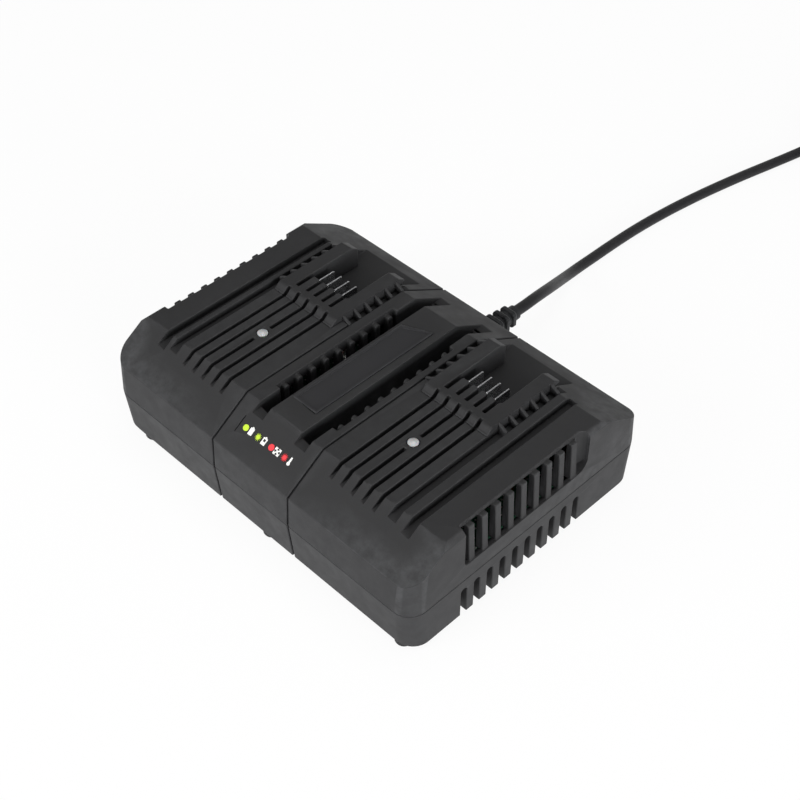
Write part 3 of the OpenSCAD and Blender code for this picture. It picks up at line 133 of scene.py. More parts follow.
class NodeSheet:
    """A node tree being drawn: adds nodes and joins their sockets."""

    def __init__(self, tree: bpy.types.NodeTree) -> None:
        """Takes the tree to draw in."""
        self.tree = tree

    def add(self, kind: str, values: dict[Any, Any] | None = None, **settings: Any
            ) -> bpy.types.Node:
        """Adds a node.

        Args:
            kind: The node's type name.
            values: Input name or number to a value, or to an output socket that feeds it.
            settings: Properties of the node itself.

        Returns:
            The new node.
        """
        node = self.tree.nodes.new(kind)
        for name, value in settings.items():
            setattr(node, name, value)
        self.fill(node, values or {})
        return node

    def fill(self, node: bpy.types.Node, values: dict[Any, Any]) -> None:
        """Sets inputs of a node, by name or number."""
        for key, value in values.items():
            self.feed(node.inputs[key], value)

    def feed(self, socket: bpy.types.NodeSocket, value: Any) -> None:
        """Sets a socket, or joins it to an output.

        Args:
            socket: The input to set.
            value: A number, a colour, a vector or an output socket.
        """
        if isinstance(value, bpy.types.NodeSocket):
            self.tree.links.new(value, socket)
        elif socket.type == "RGBA" and len(value) == 3:
            socket.default_value = (*value, 1.0)
        else:
            socket.default_value = value

    def math(self, operation: str, *values: Any, clamp: bool = False) -> bpy.types.NodeSocket:
        """Returns the output of a Math node on the values."""
        inputs = dict(enumerate(values))
        return self.add("ShaderNodeMath", inputs, operation=operation, use_clamp=clamp).outputs[0]

    def mix(self, amount: Any, first: Any, second: Any) -> bpy.types.NodeSocket:
        """Returns the colour that mixes two colours by an amount."""
        inputs = {MIX_AMOUNT: amount, MIX_FIRST: first, MIX_SECOND: second}
        return self.add("ShaderNodeMix", inputs, data_type="RGBA").outputs[MIX_RESULT]

    def spread(self, value: Any, band: Band, to: Band = UNIT) -> bpy.types.NodeSocket:
        """Returns a value moved from one range to another, with its ends held."""
        inputs = dict(enumerate((value, *band, *to)))
        return self.add("ShaderNodeMapRange", inputs).outputs[0]

    def noise(self, place: Any, scale: Any, detail: float = 2.0, roughness: float = 0.5
              ) -> bpy.types.NodeSocket:
        """Returns the grey output of a noise texture."""
        inputs = {"Vector": place, "Scale": scale, "Detail": detail, "Roughness": roughness}
        return self.add("ShaderNodeTexNoise", inputs).outputs["Fac"]

    def bump(self, height: Any, distance: float, strength: float, invert: bool = False
             ) -> bpy.types.NodeSocket:
        """Returns the normal of a surface with a height on it."""
        inputs = {"Height": height, "Distance": distance, "Strength": strength}
        return self.add("ShaderNodeBump", inputs, invert=invert).outputs[0]

    def object_place(self) -> bpy.types.NodeSocket:
        """Returns the point on the piece, in metres."""
        return self.add("ShaderNodeTexCoord").outputs["Object"]


class Effect(ABC):
    """A surface effect that several materials share, kept as one node group."""

    name: str
    inputs: tuple[tuple[str, str], ...]
    outputs: tuple[tuple[str, str], ...]

    def group(self) -> bpy.types.NodeTree:
        """Makes the effect's node group the first time it is asked for.

        Returns:
            The node group.
        """
        known = bpy.data.node_groups.get(self.name)
        if known:
            return known
        tree = bpy.data.node_groups.new(self.name, "ShaderNodeTree")
        for way, sockets in (("INPUT", self.inputs), ("OUTPUT", self.outputs)):
            for name, kind in sockets:
                tree.interface.new_socket(name=name, in_out=way, socket_type=f"NodeSocket{kind}")
        sheet = NodeSheet(tree)
        self.draw(sheet, sheet.add("NodeGroupInput").outputs, sheet.add("NodeGroupOutput"))
        return tree

    @abstractmethod
    def draw(self, sheet: NodeSheet, given: bpy.types.NodeOutputs, result: bpy.types.Node) -> None:
        """Draws the group's inside.

        Args:
            sheet: The group's tree.
            given: The values that go into the group.
            result: The node that takes the group's results.
        """

    def use(self, sheet: NodeSheet, **values: Any) -> bpy.types.NodeOutputs:
        """Places the effect in a material, with its inputs set, and returns its outputs."""
        return sheet.add("ShaderNodeGroup", values, node_tree=self.group()).outputs


class MouldGrain(Effect):
    """Fine eroded texture of a moulded face."""

    name = "mould_grain"
    inputs = (("Place", "Vector"), ("Size", "Float"))
    outputs = (("Height", "Float"), ("Tone", "Float"))
    soft_share = 0.6
    pit_share = 0.4
    tone_coarseness = 14.0
    tone_band = (0.3, 0.7)

    def draw(self, sheet: NodeSheet, given: bpy.types.NodeOutputs, result: bpy.types.Node) -> None:
        """Adds small pits to a soft noise, and takes a slower noise for the tone.

        Args:
            sheet: The group's tree.
            given: Place and grain size.
            result: Takes the height and the tone.
        """
        scale = sheet.math("DIVIDE", 1.0, given["Size"])
        soft = sheet.noise(given["Place"], scale, detail=3.0, roughness=0.6)
        pits = sheet.add("ShaderNodeTexVoronoi", {"Vector": given["Place"], "Scale": scale})
        height = sheet.math("ADD", sheet.math("MULTIPLY", soft, self.soft_share),
                            sheet.math("MULTIPLY", pits.outputs[0], self.pit_share))
        slow = sheet.noise(given["Place"], sheet.math("DIVIDE", scale, self.tone_coarseness))
        sheet.fill(result, {"Height": height, "Tone": sheet.spread(slow, self.tone_band)})


class EdgeWear(Effect):
    """Mask of outer edges that hands and batteries have rubbed."""

    name = "edge_wear"
    inputs = (("Place", "Vector"), ("Amount", "Float"))
    outputs = (("Mask", "Float"),)
    edge_band = (0.52, 0.62)
    patch_scale = 160.0
    patch_band = (0.35, 0.65)
    patch_range = (0.25, 1.0)

    def draw(self, sheet: NodeSheet, given: bpy.types.NodeOutputs, result: bpy.types.Node) -> None:
        """Takes the convex edges and breaks them up.

        Args:
            sheet: The group's tree.
            given: Place and amount.
            result: Takes the mask.
        """
        geometry = sheet.add("ShaderNodeNewGeometry").outputs
        edge = sheet.spread(geometry["Pointiness"], self.edge_band)
        patches = sheet.noise(given["Place"], self.patch_scale, detail=4.0, roughness=0.65)
        patches = sheet.spread(patches, self.patch_band, self.patch_range)
        mask = sheet.math("MULTIPLY", edge, patches)
        sheet.fill(result, {"Mask": sheet.math("MULTIPLY", mask, given["Amount"], clamp=True)})


class SettledDust(Effect):
    """Mask of the thin dust that lies on what faces up."""

    name = "settled_dust"
    inputs = (("Place", "Vector"), ("Amount", "Float"))
    outputs = (("Mask", "Float"),)
    facing_band = (0.35, 1.0)
    cloud_scale = 28.0
    cloud_band = (0.35, 0.7)
    speck_scale = 2400.0
    speck_band = (0.62, 0.72)
    scatter_range = (0.3, 1.0)

    def draw(self, sheet: NodeSheet, given: bpy.types.NodeOutputs, result: bpy.types.Node) -> None:
        """Takes the upward faces and scatters them with two noises.

        Args:
            sheet: The group's tree.
            given: Place and amount.
            result: Takes the mask.
        """
        normal = sheet.add("ShaderNodeNewGeometry").outputs["Normal"]
        up = sheet.add("ShaderNodeSeparateXYZ", {0: normal}).outputs["Z"]
        facing = sheet.spread(up, self.facing_band)
        clouds = sheet.noise(given["Place"], self.cloud_scale, detail=3.0)
        clouds = sheet.spread(clouds, self.cloud_band, self.scatter_range)
        specks = sheet.noise(given["Place"], self.speck_scale, detail=1.0)
        specks = sheet.spread(specks, self.speck_band, self.scatter_range)
        mask = sheet.math("MULTIPLY", facing, sheet.math("MULTIPLY", clouds, specks))
        sheet.fill(result, {"Mask": sheet.math("MULTIPLY", mask, given["Amount"], clamp=True)})


class Mottle(Effect):
    """A colour with slow, faint changes of lightness."""

    name = "mottle"
    inputs = (("Colour", "Color"), ("Place", "Vector"), ("Size", "Float"), ("Amount", "Float"))
    outputs = (("Colour", "Color"),)
    middle = 0.5

    def draw(self, sheet: NodeSheet, given: bpy.types.NodeOutputs, result: bpy.types.Node) -> None:
        """Scales the colour by a noise about one.

        Args:
            sheet: The group's tree.
            given: Colour, place, size and amount.
            result: Takes the colour.
        """
        scale = sheet.math("DIVIDE", 1.0, given["Size"])
        cloud = sheet.noise(given["Place"], scale, detail=4.0, roughness=0.6)
        swing = sheet.math("SUBTRACT", cloud, self.middle)
        swing = sheet.math("MULTIPLY", swing, given["Amount"])
        factor = sheet.math("ADD", 1.0, sheet.math("MULTIPLY", swing, 1.0 / self.middle))
        scaled = sheet.add("ShaderNodeVectorMath", {0: given["Colour"]}, operation="SCALE")
        sheet.fill(scaled, {"Scale": factor})
        sheet.fill(result, {"Colour": scaled.outputs[0]})


class DrawLines(Effect):
    """Fine lines that rolling or drawing leaves along X on metal."""

    name = "draw_lines"
    inputs = (("Place", "Vector"), ("Size", "Float"))
    outputs = (("Height", "Float"),)
    stretch = (0.06, 1.0, 1.0)

    def draw(self, sheet: NodeSheet, given: bpy.types.NodeOutputs, result: bpy.types.Node) -> None:
        """Stretches a noise along one axis.

        Args:
            sheet: The group's tree.
            given: Place and size.
            result: Takes the height.
        """
        inputs = {"Vector": given["Place"], "Scale": self.stretch}
        stretched = sheet.add("ShaderNodeMapping", inputs).outputs[0]
        scale = sheet.math("DIVIDE", 1.0, given["Size"])
        lines = sheet.noise(stretched, scale, detail=3.0, roughness=0.7)
        sheet.fill(result, {"Height": lines})


@dataclass(frozen=True)
class Finish(ABC):
    """How a surface looks. A finish draws its own material."""

    colour: Colour

    def material(self, name: str) -> bpy.types.Material:
        """Makes the material.

        Args:
            name: The material's name.

        Returns:
            The material, with the finish drawn in its nodes.
        """
        made = bpy.data.materials.new(name)
        made.use_nodes = True
        made.node_tree.nodes.clear()
        sheet = NodeSheet(made.node_tree)
        shader = sheet.add("ShaderNodeBsdfPrincipled")
        sheet.add("ShaderNodeOutputMaterial", {"Surface": shader.outputs[0]})
        sheet.fill(shader, self.draw(sheet))
        return made

    def mottled(self, sheet: NodeSheet, place: Any, size: float, amount: float
                ) -> bpy.types.NodeSocket:
        """Returns the finish's colour with slow, faint changes of lightness."""
        return Mottle().use(sheet, Colour=self.colour, Place=place, Size=size, Amount=amount)[0]

    @abstractmethod
    def draw(self, sheet: NodeSheet) -> dict[str, Any]:
        """Draws the finish.

        Args:
            sheet: The material's tree.

        Returns:
            What the shader's inputs get, by name.
        """


@dataclass(frozen=True)
class MouldedPlastic(Finish):
    """Grained moulding: polished where it is rubbed, dusty where it faces up."""

    roughness: float = 0.56
    roughness_swing: float = 0.05
    grain_size: float = 0.0007
    relief: float = 0.00002
    relief_strength: float = 0.8
    wear: float = 0.35
    wear_gloss: float = 0.12
    dust: float = 0.03
    dust_mattness: float = 0.8
    mottling: float = 0.02
    mottle_size: float = 0.03
    specular: float = 0.15
    rubbed: Colour = tone("5b5c5e")
    dust_colour: Colour = tone("a39d92")

    def draw(self, sheet: NodeSheet) -> dict[str, Any]:
        """Layers mottle, wear and dust on the colour, and the grain in the relief.

        Args:
            sheet: The material's tree.

        Returns:
            What the shader's inputs get, by name.
        """
        place = sheet.object_place()
        grain = MouldGrain().use(sheet, Place=place, Size=self.grain_size)
        base = self.mottled(sheet, place, self.mottle_size, self.mottling)
        wear = EdgeWear().use(sheet, Place=place, Amount=self.wear)[0]
        dust = SettledDust().use(sheet, Place=place, Amount=self.dust)[0]
        colour = sheet.mix(dust, sheet.mix(wear, base, self.rubbed), self.dust_colour)
        swing = (self.roughness - self.roughness_swing, self.roughness + self.roughness_swing)
        rough = sheet.spread(grain["Tone"], UNIT, swing)
        rough = sheet.math("SUBTRACT", rough, sheet.math("MULTIPLY", wear, self.wear_gloss))
        matt = sheet.math("MULTIPLY", dust, self.dust_mattness)
        return {"Base Color": colour,
                "Roughness": sheet.math("ADD", rough, matt, clamp=True),
                "Normal": sheet.bump(grain["Height"], self.relief, self.relief_strength),
                "Specular IOR Level": self.specular}


@dataclass(frozen=True)
class SoftRubber(MouldedPlastic):
    """Matt rubber or soft vinyl with a faint bloom."""

    roughness: float = 0.62
    wear: float = 0.15
    bloom: float = 0.12
    bloom_roughness: float = 0.5

    def draw(self, sheet: NodeSheet) -> dict[str, Any]:
        """Returns the moulded surface's inputs with a fixed sheen."""
        return {**super().draw(sheet), "Sheen Weight": self.bloom,
                "Sheen Roughness": self.bloom_roughness}


@dataclass(frozen=True)
class PlatedMetal(Finish):
    """Plated or drawn metal with fine lines and a faint stain."""

    roughness: float = 0.28
    smoother: float = 0.06
    rougher: float = 0.1
    line_size: float = 0.0002
    line_band: Band = (0.3, 0.7)
    relief: float = 0.000006
    relief_strength: float = 0.7
    stain: float = 0.16
    stain_size: float = 0.004
    wear: float = 0.5
    rubbed: Colour = (0.95, 0.95, 0.94)

    def draw(self, sheet: NodeSheet) -> dict[str, Any]:
        """Draws lines in the relief and the gloss, and a stain in the colour.

        Args:
            sheet: The material's tree.

        Returns:
            What the shader's inputs get, by name.
        """
        place = sheet.object_place()
        lines = DrawLines().use(sheet, Place=place, Size=self.line_size)[0]
        colour = self.mottled(sheet, place, self.stain_size, self.stain)
        wear = EdgeWear().use(sheet, Place=place, Amount=self.wear)[0]
        gloss = (self.roughness - self.smoother, self.roughness + self.rougher)
        return {"Base Color": sheet.mix(wear, colour, self.rubbed),
                "Roughness": sheet.spread(lines, self.line_band, gloss),
                "Normal": sheet.bump(lines, self.relief, self.relief_strength),
                "Metallic": 1.0}


@dataclass(frozen=True)
class PrintedInk(Finish):
    """Pad-printed ink: even colour with tiny pinholes."""

    roughness: float = 0.42
    pinholes: float = 0.25
    hole_scale: float = 5200.0
    hole_band: Band = (0.66, 0.74)
    hole_shade: float = 0.35
    hole_depth: float = 0.00002
    hole_strength: float = 0.5
    mottling: float = 0.06
    mottle_size: float = 0.002

    def draw(self, sheet: NodeSheet) -> dict[str, Any]:
        """Darkens the ink in its pinholes and roughens it there.

        Args:
            sheet: The material's tree.

        Returns:
            What the shader's inputs get, by name.
        """
        place = sheet.object_place()
        holes = sheet.noise(place, self.hole_scale)
        holes = sheet.spread(holes, self.hole_band, (0.0, self.pinholes))
        ink = self.mottled(sheet, place, self.mottle_size, self.mottling)
        return {"Base Color": sheet.mix(holes, ink, shaded(self.colour, self.hole_shade)),
                "Roughness": sheet.math("ADD", holes, self.roughness),
                "Normal": sheet.bump(holes, self.hole_depth, self.hole_strength, invert=True)}


@dataclass(frozen=True)
class MilkyLens(Finish):
    """Frosted lamp lens: pale body under a clear, glossy skin."""

    roughness: float = 0.3
    edge_roughness: float = 0.15
    edge_blend: float = 0.35
    cloudiness: float = 0.1
    cloud_size: float = 0.003
    grain_size: float = 0.0004
    relief: float = 0.000008
    relief_strength: float = 0.5
    coat: float = 0.6
    coat_roughness: float = 0.08
    glow_through: float = 0.15
    glow_depth: float = 0.002

    def draw(self, sheet: NodeSheet) -> dict[str, Any]:
        """Clouds the body and leaves the coat smooth.

        Args:
            sheet: The material's tree.

        Returns:
            What the shader's inputs get, by name.
        """
        place = sheet.object_place()
        edge = sheet.add("ShaderNodeLayerWeight", {"Blend": self.edge_blend}).outputs["Facing"]
        grain = MouldGrain().use(sheet, Place=place, Size=self.grain_size)
        return {"Base Color": self.mottled(sheet, place, self.cloud_size, self.cloudiness),
                "Roughness": sheet.spread(edge, UNIT, (self.roughness, self.edge_roughness)),
                "Normal": sheet.bump(grain["Height"], self.relief, self.relief_strength),
                "Coat Weight": self.coat,
                "Coat Roughness": self.coat_roughness,
                "Subsurface Weight": self.glow_through,
                "Subsurface Scale": self.glow_depth}


@dataclass(frozen=True)
class BoardLacquer(Finish):
    """Solder-mask green over copper tracks, with pale pads."""

    track_scale: float = 260.0
    track_disorder: float = 0.6
    track_band: Band = (0.03, 0.06)
    track_gain: float = 2.1
    track_lift: float = 0.01
    track_height: float = 0.00004
    track_strength: float = 0.6
    pad_scale: float = 234.0
    pad_disorder: float = 0.4
    pad_band: Band = (0.16, 0.2)
    pad_colour: Colour = tone("c9cac4")
    pad_metal: float = 0.8
    mottling: float = 0.12
    mottle_size: float = 0.02
    roughness: float = 0.38
    track_roughness: float = 0.3
    coat: float = 0.3
    coat_roughness: float = 0.2

    def draw(self, sheet: NodeSheet) -> dict[str, Any]:
        """Draws the tracks as cells of straight lines, raised under the lacquer.

        Args:
            sheet: The material's tree.

        Returns:
            What the shader's inputs get, by name.
        """
        place = sheet.object_place()
        inputs = {"Vector": place, "Scale": self.track_scale, "Randomness": self.track_disorder}
        cells = sheet.add("ShaderNodeTexVoronoi", inputs, feature="DISTANCE_TO_EDGE")
        track = sheet.spread(cells.outputs[0], self.track_band, (1.0, 0.0))
        inputs = {"Vector": place, "Scale": self.pad_scale, "Randomness": self.pad_disorder}
        dots = sheet.add("ShaderNodeTexVoronoi", inputs)
        pad = sheet.spread(dots.outputs[0], self.pad_band, (1.0, 0.0))
        lacquer = self.mottled(sheet, place, self.mottle_size, self.mottling)
        lighter = shaded(self.colour, self.track_gain, self.track_lift)
        gloss = (self.roughness, self.track_roughness)
        return {"Base Color": sheet.mix(pad, sheet.mix(track, lacquer, lighter), self.pad_colour),
                "Roughness": sheet.spread(track, UNIT, gloss),
                "Metallic": sheet.math("MULTIPLY", pad, self.pad_metal),
                "Normal": sheet.bump(track, self.track_height, self.track_strength),
                "Coat Weight": self.coat,
                "Coat Roughness": self.coat_roughness}


@dataclass(frozen=True)
class WoundLayer(Finish):
    """Wire or tape in even turns."""

    pitch: float = 0.0012
    axis: Axis = Axis.Z
    unevenness: float = 0.3
    detail: float = 1.0
    metallic: float = 0.0
    roughness: float = 0.35
    gap_band: Band = (0.0, 0.35)
    gap_range: Band = (0.55, 0.0)
    # Factor that darkens the colour in the creases between turns: painted shade.
    gap_painted_shade: float = 0.3
    relief_share: float = 0.25
    relief_strength: float = 0.9
    mottling: float = 0.12
    mottle_size: float = 0.005

    def draw(self, sheet: NodeSheet) -> dict[str, Any]:
        """Draws the turns as waves in the relief, darker between them as painted shade in the
        creases.

        Args:
            sheet: The material's tree.

        Returns:
            What the shader's inputs get, by name.
        """
        place = sheet.object_place()
        inputs = {"Vector": place, "Scale": WAVE_SCALE / self.pitch,
                  "Distortion": self.unevenness, "Detail": self.detail}
        waves = sheet.add("ShaderNodeTexWave", inputs, bands_direction=self.axis.value)
        turns = waves.outputs["Fac"]
        colour = self.mottled(sheet, place, self.mottle_size, self.mottling)
        # Mask of the creases between turns: the colour is darkened there as painted shade, and
        # roughened.
        gap = sheet.spread(turns, self.gap_band, self.gap_range)
        relief = self.pitch * self.relief_share
        return {"Base Color": sheet.mix(gap, colour, shaded(self.colour, self.gap_painted_shade)),
                "Roughness": sheet.math("ADD", gap, self.roughness, clamp=True),
                "Normal": sheet.bump(turns, relief, self.relief_strength),
                "Metallic": self.metallic}


@dataclass(frozen=True)
class SpeckledBody(Finish):
    """Fired or cast electronic body: speckled, a little rough."""

    roughness: float = 0.5
    roughness_swing: float = 0.06
    speck: float = 0.25
    speck_size: float = 0.0004
    speck_growth: float = 2.0
    relief: float = 0.00003
    relief_strength: float = 0.6
    wear: float = 0.4
    wear_gain: float = 1.6
    wear_lift: float = 0.02
    gloss: float = 0.0
    gloss_roughness: float = 0.15

    def draw(self, sheet: NodeSheet) -> dict[str, Any]:
        """Scatters specks in colour and relief.

        Args:
            sheet: The material's tree.

        Returns:
            What the shader's inputs get, by name.
        """
        place = sheet.object_place()
        grain = MouldGrain().use(sheet, Place=place, Size=self.speck_size)
        colour = self.mottled(sheet, place, self.speck_size * self.speck_growth, self.speck)
        wear = EdgeWear().use(sheet, Place=place, Amount=self.wear)[0]
        lighter = shaded(self.colour, self.wear_gain, self.wear_lift)
        swing = (self.roughness - self.roughness_swing, self.roughness + self.roughness_swing)
        return {"Base Color": sheet.mix(wear, colour, lighter),
                "Roughness": sheet.spread(grain["Tone"], UNIT, swing),
                "Normal": sheet.bump(grain["Height"], self.relief, self.relief_strength),
                "Coat Weight": self.gloss,
                "Coat Roughness": self.gloss_roughness}


@dataclass(frozen=True)
class CappedTube(Finish):
    """Glass tube with metal caps at both ends, told apart by their place along X."""

    middle: float = 0.056
    half_glass: float = 0.005
    cap_colour: Colour = (0.72, 0.71, 0.68)
    mottling: float = 0.2
    mottle_size: float = 0.002
    line_size: float = 0.0003
    line_band: Band = (0.2, 0.8)
    roughness_range: Band = (0.12, 0.3)

    def draw(self, sheet: NodeSheet) -> dict[str, Any]:
        """Makes the ends metal and the middle pale glass.

        Args:
            sheet: The material's tree.

        Returns:
            What the shader's inputs get, by name.
        """
        place = sheet.object_place()
        along = sheet.add("ShaderNodeSeparateXYZ", {0: place}).outputs["X"]
        away = sheet.math("ABSOLUTE", sheet.math("SUBTRACT", along, self.middle))
        cap = sheet.math("GREATER_THAN", away, self.half_glass)
        glass = self.mottled(sheet, place, self.mottle_size, self.mottling)
        lines = DrawLines().use(sheet, Place=place, Size=self.line_size)[0]
        return {"Base Color": sheet.mix(cap, glass, self.cap_colour),
                "Metallic": cap,
                "Roughness": sheet.spread(lines, self.line_band, self.roughness_range)}


FINISHES: dict[Slot, Finish] = {
    Slot.COVER: MouldedPlastic(tone("303031")),
    Slot.BASE: MouldedPlastic(tone("313132"), roughness=0.54),
    Slot.TERMINAL: MouldedPlastic(tone("2f2f30"), roughness=0.5, grain_size=0.0009,
                                  relief=0.000012),
    Slot.BADGE: MouldedPlastic(tone("313133"), roughness=0.45, grain_size=0.0005,
                               relief=0.00001),
    Slot.FOOT: SoftRubber(tone("1b1b1c"), wear=0.1),
    Slot.SCREW: PlatedMetal(tone("a5a6a8"), roughness=0.32),
    Slot.GREEN: PrintedInk(tone("c4e23c")),
    Slot.RED: PrintedInk(tone("ef4047")),
    Slot.WHITE: PrintedInk(tone("f4f4f0")),
    Slot.LENS: MilkyLens(tone("b4b5b6")),
    Slot.BOARD: BoardLacquer(tone("174630")),
    Slot.CONTACT: PlatedMetal(tone("e9eaec"), roughness=0.22, stain=0.06),
    Slot.WIRE_RED: SoftRubber(tone("a8201b"), roughness=0.4, dust=0.02),
    Slot.FERRITE: SpeckledBody(tone("37373b"), roughness=0.45),
    Slot.TAPE: WoundLayer(tone("d4a62f"), pitch=0.004, axis=Axis.Z, roughness=0.3),
    Slot.CAN_BLUE: SpeckledBody(tone("20304e"), roughness=0.35, speck=0.06, gloss=0.5),
    Slot.CAN_BLACK: SpeckledBody(tone("242426"), roughness=0.35, speck=0.06, gloss=0.5),
    Slot.SINK: PlatedMetal(tone("b7babf"), roughness=0.36, line_size=0.0004),
    Slot.EPOXY: SpeckledBody(tone("1b1b1d"), roughness=0.55),
    Slot.COPPER: WoundLayer(tone("b86a30"), pitch=0.0011, axis=Axis.X, metallic=1.0,
                            roughness=0.25),
    Slot.CHOKE: SpeckledBody(tone("3b6d48"), roughness=0.4, gloss=0.4),
    Slot.FUSE: CappedTube(tone("dde5e7")),
    Slot.FILM: SpeckledBody(tone("dfba2c"), roughness=0.4, speck=0.08, gloss=0.3),
    Slot.VARISTOR: SpeckledBody(tone("35689f"), roughness=0.4, speck=0.12, gloss=0.4),
    Slot.NYLON: SpeckledBody(tone("ebeae0"), roughness=0.45, speck=0.05),
    Slot.INLET: SpeckledBody(tone("2c7843"), roughness=0.42, speck=0.08),
    Slot.WIRE_BROWN: SoftRubber(tone("5f4026"), roughness=0.4, dust=0.02),
    Slot.JACKET: SoftRubber(tone("1c1c1e"), roughness=0.5, grain_size=0.0012),
    Slot.BOOT: SoftRubber(tone("242527"), roughness=0.5),
    Slot.PLUG: MouldedPlastic(tone("1f2022"), roughness=0.4),
    Slot.PIN: PlatedMetal(tone("d9dadc"), roughness=0.2, stain=0.08),
    Slot.FAN: MouldedPlastic(tone("232427"), roughness=0.45, dust=0.12),
}

# The CAD nodes that are dressed as they are. Pieces take the place of the others.
NODE_SLOTS: dict[Slot, tuple[str, ...]] = {
    Slot.TERMINAL: ("cord_clamp",),
    Slot.FOOT: ("rubber_feet",),
    Slot.SCREW: ("housing_screws", "bay_board_screws", "board_screws", "clamp_screws",
                 "fan_screws"),
    Slot.GREEN: ("legend_green",),
    Slot.RED: ("legend_red",),
    Slot.WHITE: ("legend_white",),
    Slot.LENS: ("indicator_lens_left", "indicator_lens_right"),
    Slot.BOARD: ("lamp_board_left", "lamp_board_right", "bay_board_left", "bay_board_right",
                 "main_board"),
    Slot.WIRE_RED: ("output_wires",),
    Slot.FERRITE: ("transformer_core",),
    Slot.TAPE: ("transformer_winding",),
    Slot.CAN_BLUE: ("input_capacitors",),
    Slot.CAN_BLACK: ("output_capacitors",),
    Slot.SINK: ("primary_heat_sink", "secondary_heat_sink"),
    Slot.EPOXY: ("power_transistors", "output_rectifiers", "bridge_rectifier", "controller_chip"),
    Slot.COPPER: ("choke_windings",),
    Slot.CHOKE: ("choke_core",),
    Slot.FUSE: ("fuse",),
    Slot.FILM: ("line_capacitor",),
    Slot.VARISTOR: ("varistor",),
    Slot.NYLON: ("wire_sockets",),
    Slot.INLET: ("inlet_terminal",),
    Slot.WIRE_BROWN: ("mains_wires",),
    Slot.JACKET: ("cord_core",),
    Slot.PIN: ("plug_pins",),
    Slot.FAN: ("fan_frame", "fan_rotor"),
}


def new_object(name: str, data: Any) -> bpy.types.Object:
    """Makes an object and links it into the scene.

    Args:
        name: The object's name.
        data: Its mesh, curve, camera or lamp.

    Returns:
        The object.
    """
    made = bpy.data.objects.new(name, data)
    bpy.context.scene.collection.objects.link(made)
    return made


def mesh_object(name: str, bm: bmesh.types.BMesh, smooth_below: float) -> bpy.types.Object:
    """Turns a bmesh into an object with smooth faces and sharp edges above an angle.

    Args:
        name: The object's name.
        bm: The mesh, which is freed.
        smooth_below: The angle in radians under which an edge is smooth.

    Returns:
        The object.
    """
    bm.normal_update()
    for face in bm.faces:
        face.smooth = True
    for edge in bm.edges:
        edge.smooth = not edge.is_manifold or edge.calc_face_angle(0.0) < smooth_below
    mesh = bpy.data.meshes.new(name)
    bm.to_mesh(mesh)
    bm.free()
    return new_object(name, mesh)


class FlatFace:
    """A flat face laid out in its own plane, to ask whether a point lies on it."""

    def __init__(self, face: bmesh.types.BMFace) -> None:
        """Lays the face's corners out along two axes in its plane.

        Args:
            face: The face.
        """
        self.across = face.normal.orthogonal().normalized()
        self.along = face.normal.cross(self.across)
        self.outline = [self.place(corner.vert.co) for corner in face.loops]

    def place(self, point: Vector) -> tuple[float, float]:
        """Returns a point's place in the face's plane."""
        return point.dot(self.across), point.dot(self.along)

    def holds(self, point: Vector) -> bool:
        """Tells whether a point of the plane lies inside the outline.

        Args:
            point: The point, in the part's frame.

        Returns:
            True if it is inside.
        """
        x, y = self.place(point)
        inside = False
        for (x0, y0), (x1, y1) in zip(self.outline, self.outline[1:] + self.outline[:1]):
            if (y0 > y) != (y1 > y) and x < (x1 - x0) * (y - y0) / (y1 - y0) + x0:
                inside = not inside
        return inside


@dataclass(frozen=True)
class EdgeRounding:
    """Rounds the sharp edges of a moulding that have room for it, as a mould's corners do."""

    width: float
    segments: int = 2
    room: float = 1.05
    stations: tuple[float, ...] = (0.05, 0.5, 0.95)
    sharp: float = math.radians(20.0)
    flat: float = math.radians(0.05)
    merge: float = 1e-6
    face_weight: int = 90

    def has_room(self, edge: bmesh.types.BMEdge, faces: dict[int, FlatFace]) -> bool:
        """Tells whether both faces of an edge are wide enough for the rounding.

        Args:
            edge: The edge.
            faces: The faces laid out so far, by index.

        Returns:
            True if the rounding stays on both faces.
        """
        for corner in edge.link_loops:
            face = corner.face
            if face.index not in faces:
                faces[face.index] = FlatFace(face)
            flat_face = faces[face.index]
            start, end = corner.vert.co, corner.link_loop_next.vert.co
            inward = face.normal.cross(end - start).normalized() * self.width * self.room
            if not all(flat_face.holds(start.lerp(end, at) + inward) for at in self.stations):
                return False
        return True

    def cleaned(self, node: str) -> bmesh.types.BMesh:
        """Copies a node's mesh, with its flat faces whole again.

        Args:
            node: The CAD node, which is left as it is.

        Returns:
            The copy.
        """
        bm = bmesh.new()
        bm.from_mesh(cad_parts[node].data)
        bmesh.ops.remove_doubles(bm, verts=bm.verts, dist=self.merge)
        bmesh.ops.dissolve_limit(bm, angle_limit=self.flat, verts=bm.verts, edges=bm.edges,
                                 use_dissolve_boundaries=False)
        bm.normal_update()
        return bm

    def piece(self, name: str, node: str) -> bpy.types.Object:
        """Makes a piece with a node's form and rounded edges.

        Args:
            name: The new piece's name.
            node: The CAD node whose form it takes.

        Returns:
            The new piece.
        """
        bm = self.cleaned(node)
        weight = bm.edges.layers.float.new("bevel_weight_edge")
        faces: dict[int, FlatFace] = {}
        for edge in bm.edges:
            is_sharp = edge.is_manifold and edge.calc_face_angle(0.0) > self.sharp
            if is_sharp and self.has_room(edge, faces):
                edge[weight] = 1.0
        piece = mesh_object(name, bm, self.sharp)
        split = piece.data.attributes.get("custom_normal")
        if split:
            piece.data.attributes.remove(split)
        bevel = piece.modifiers.new("rounded_edges", "BEVEL")
        bevel.width = self.width
        bevel.segments = self.segments
        bevel.limit_method = "WEIGHT"
        bevel.use_clamp_overlap = False
        bevel.miter_outer = "MITER_ARC"
        even = piece.modifiers.new("even_faces", "WEIGHTED_NORMAL")
        even.mode = "FACE_AREA"
        even.weight = self.face_weight
        even.keep_sharp = True
        return piece


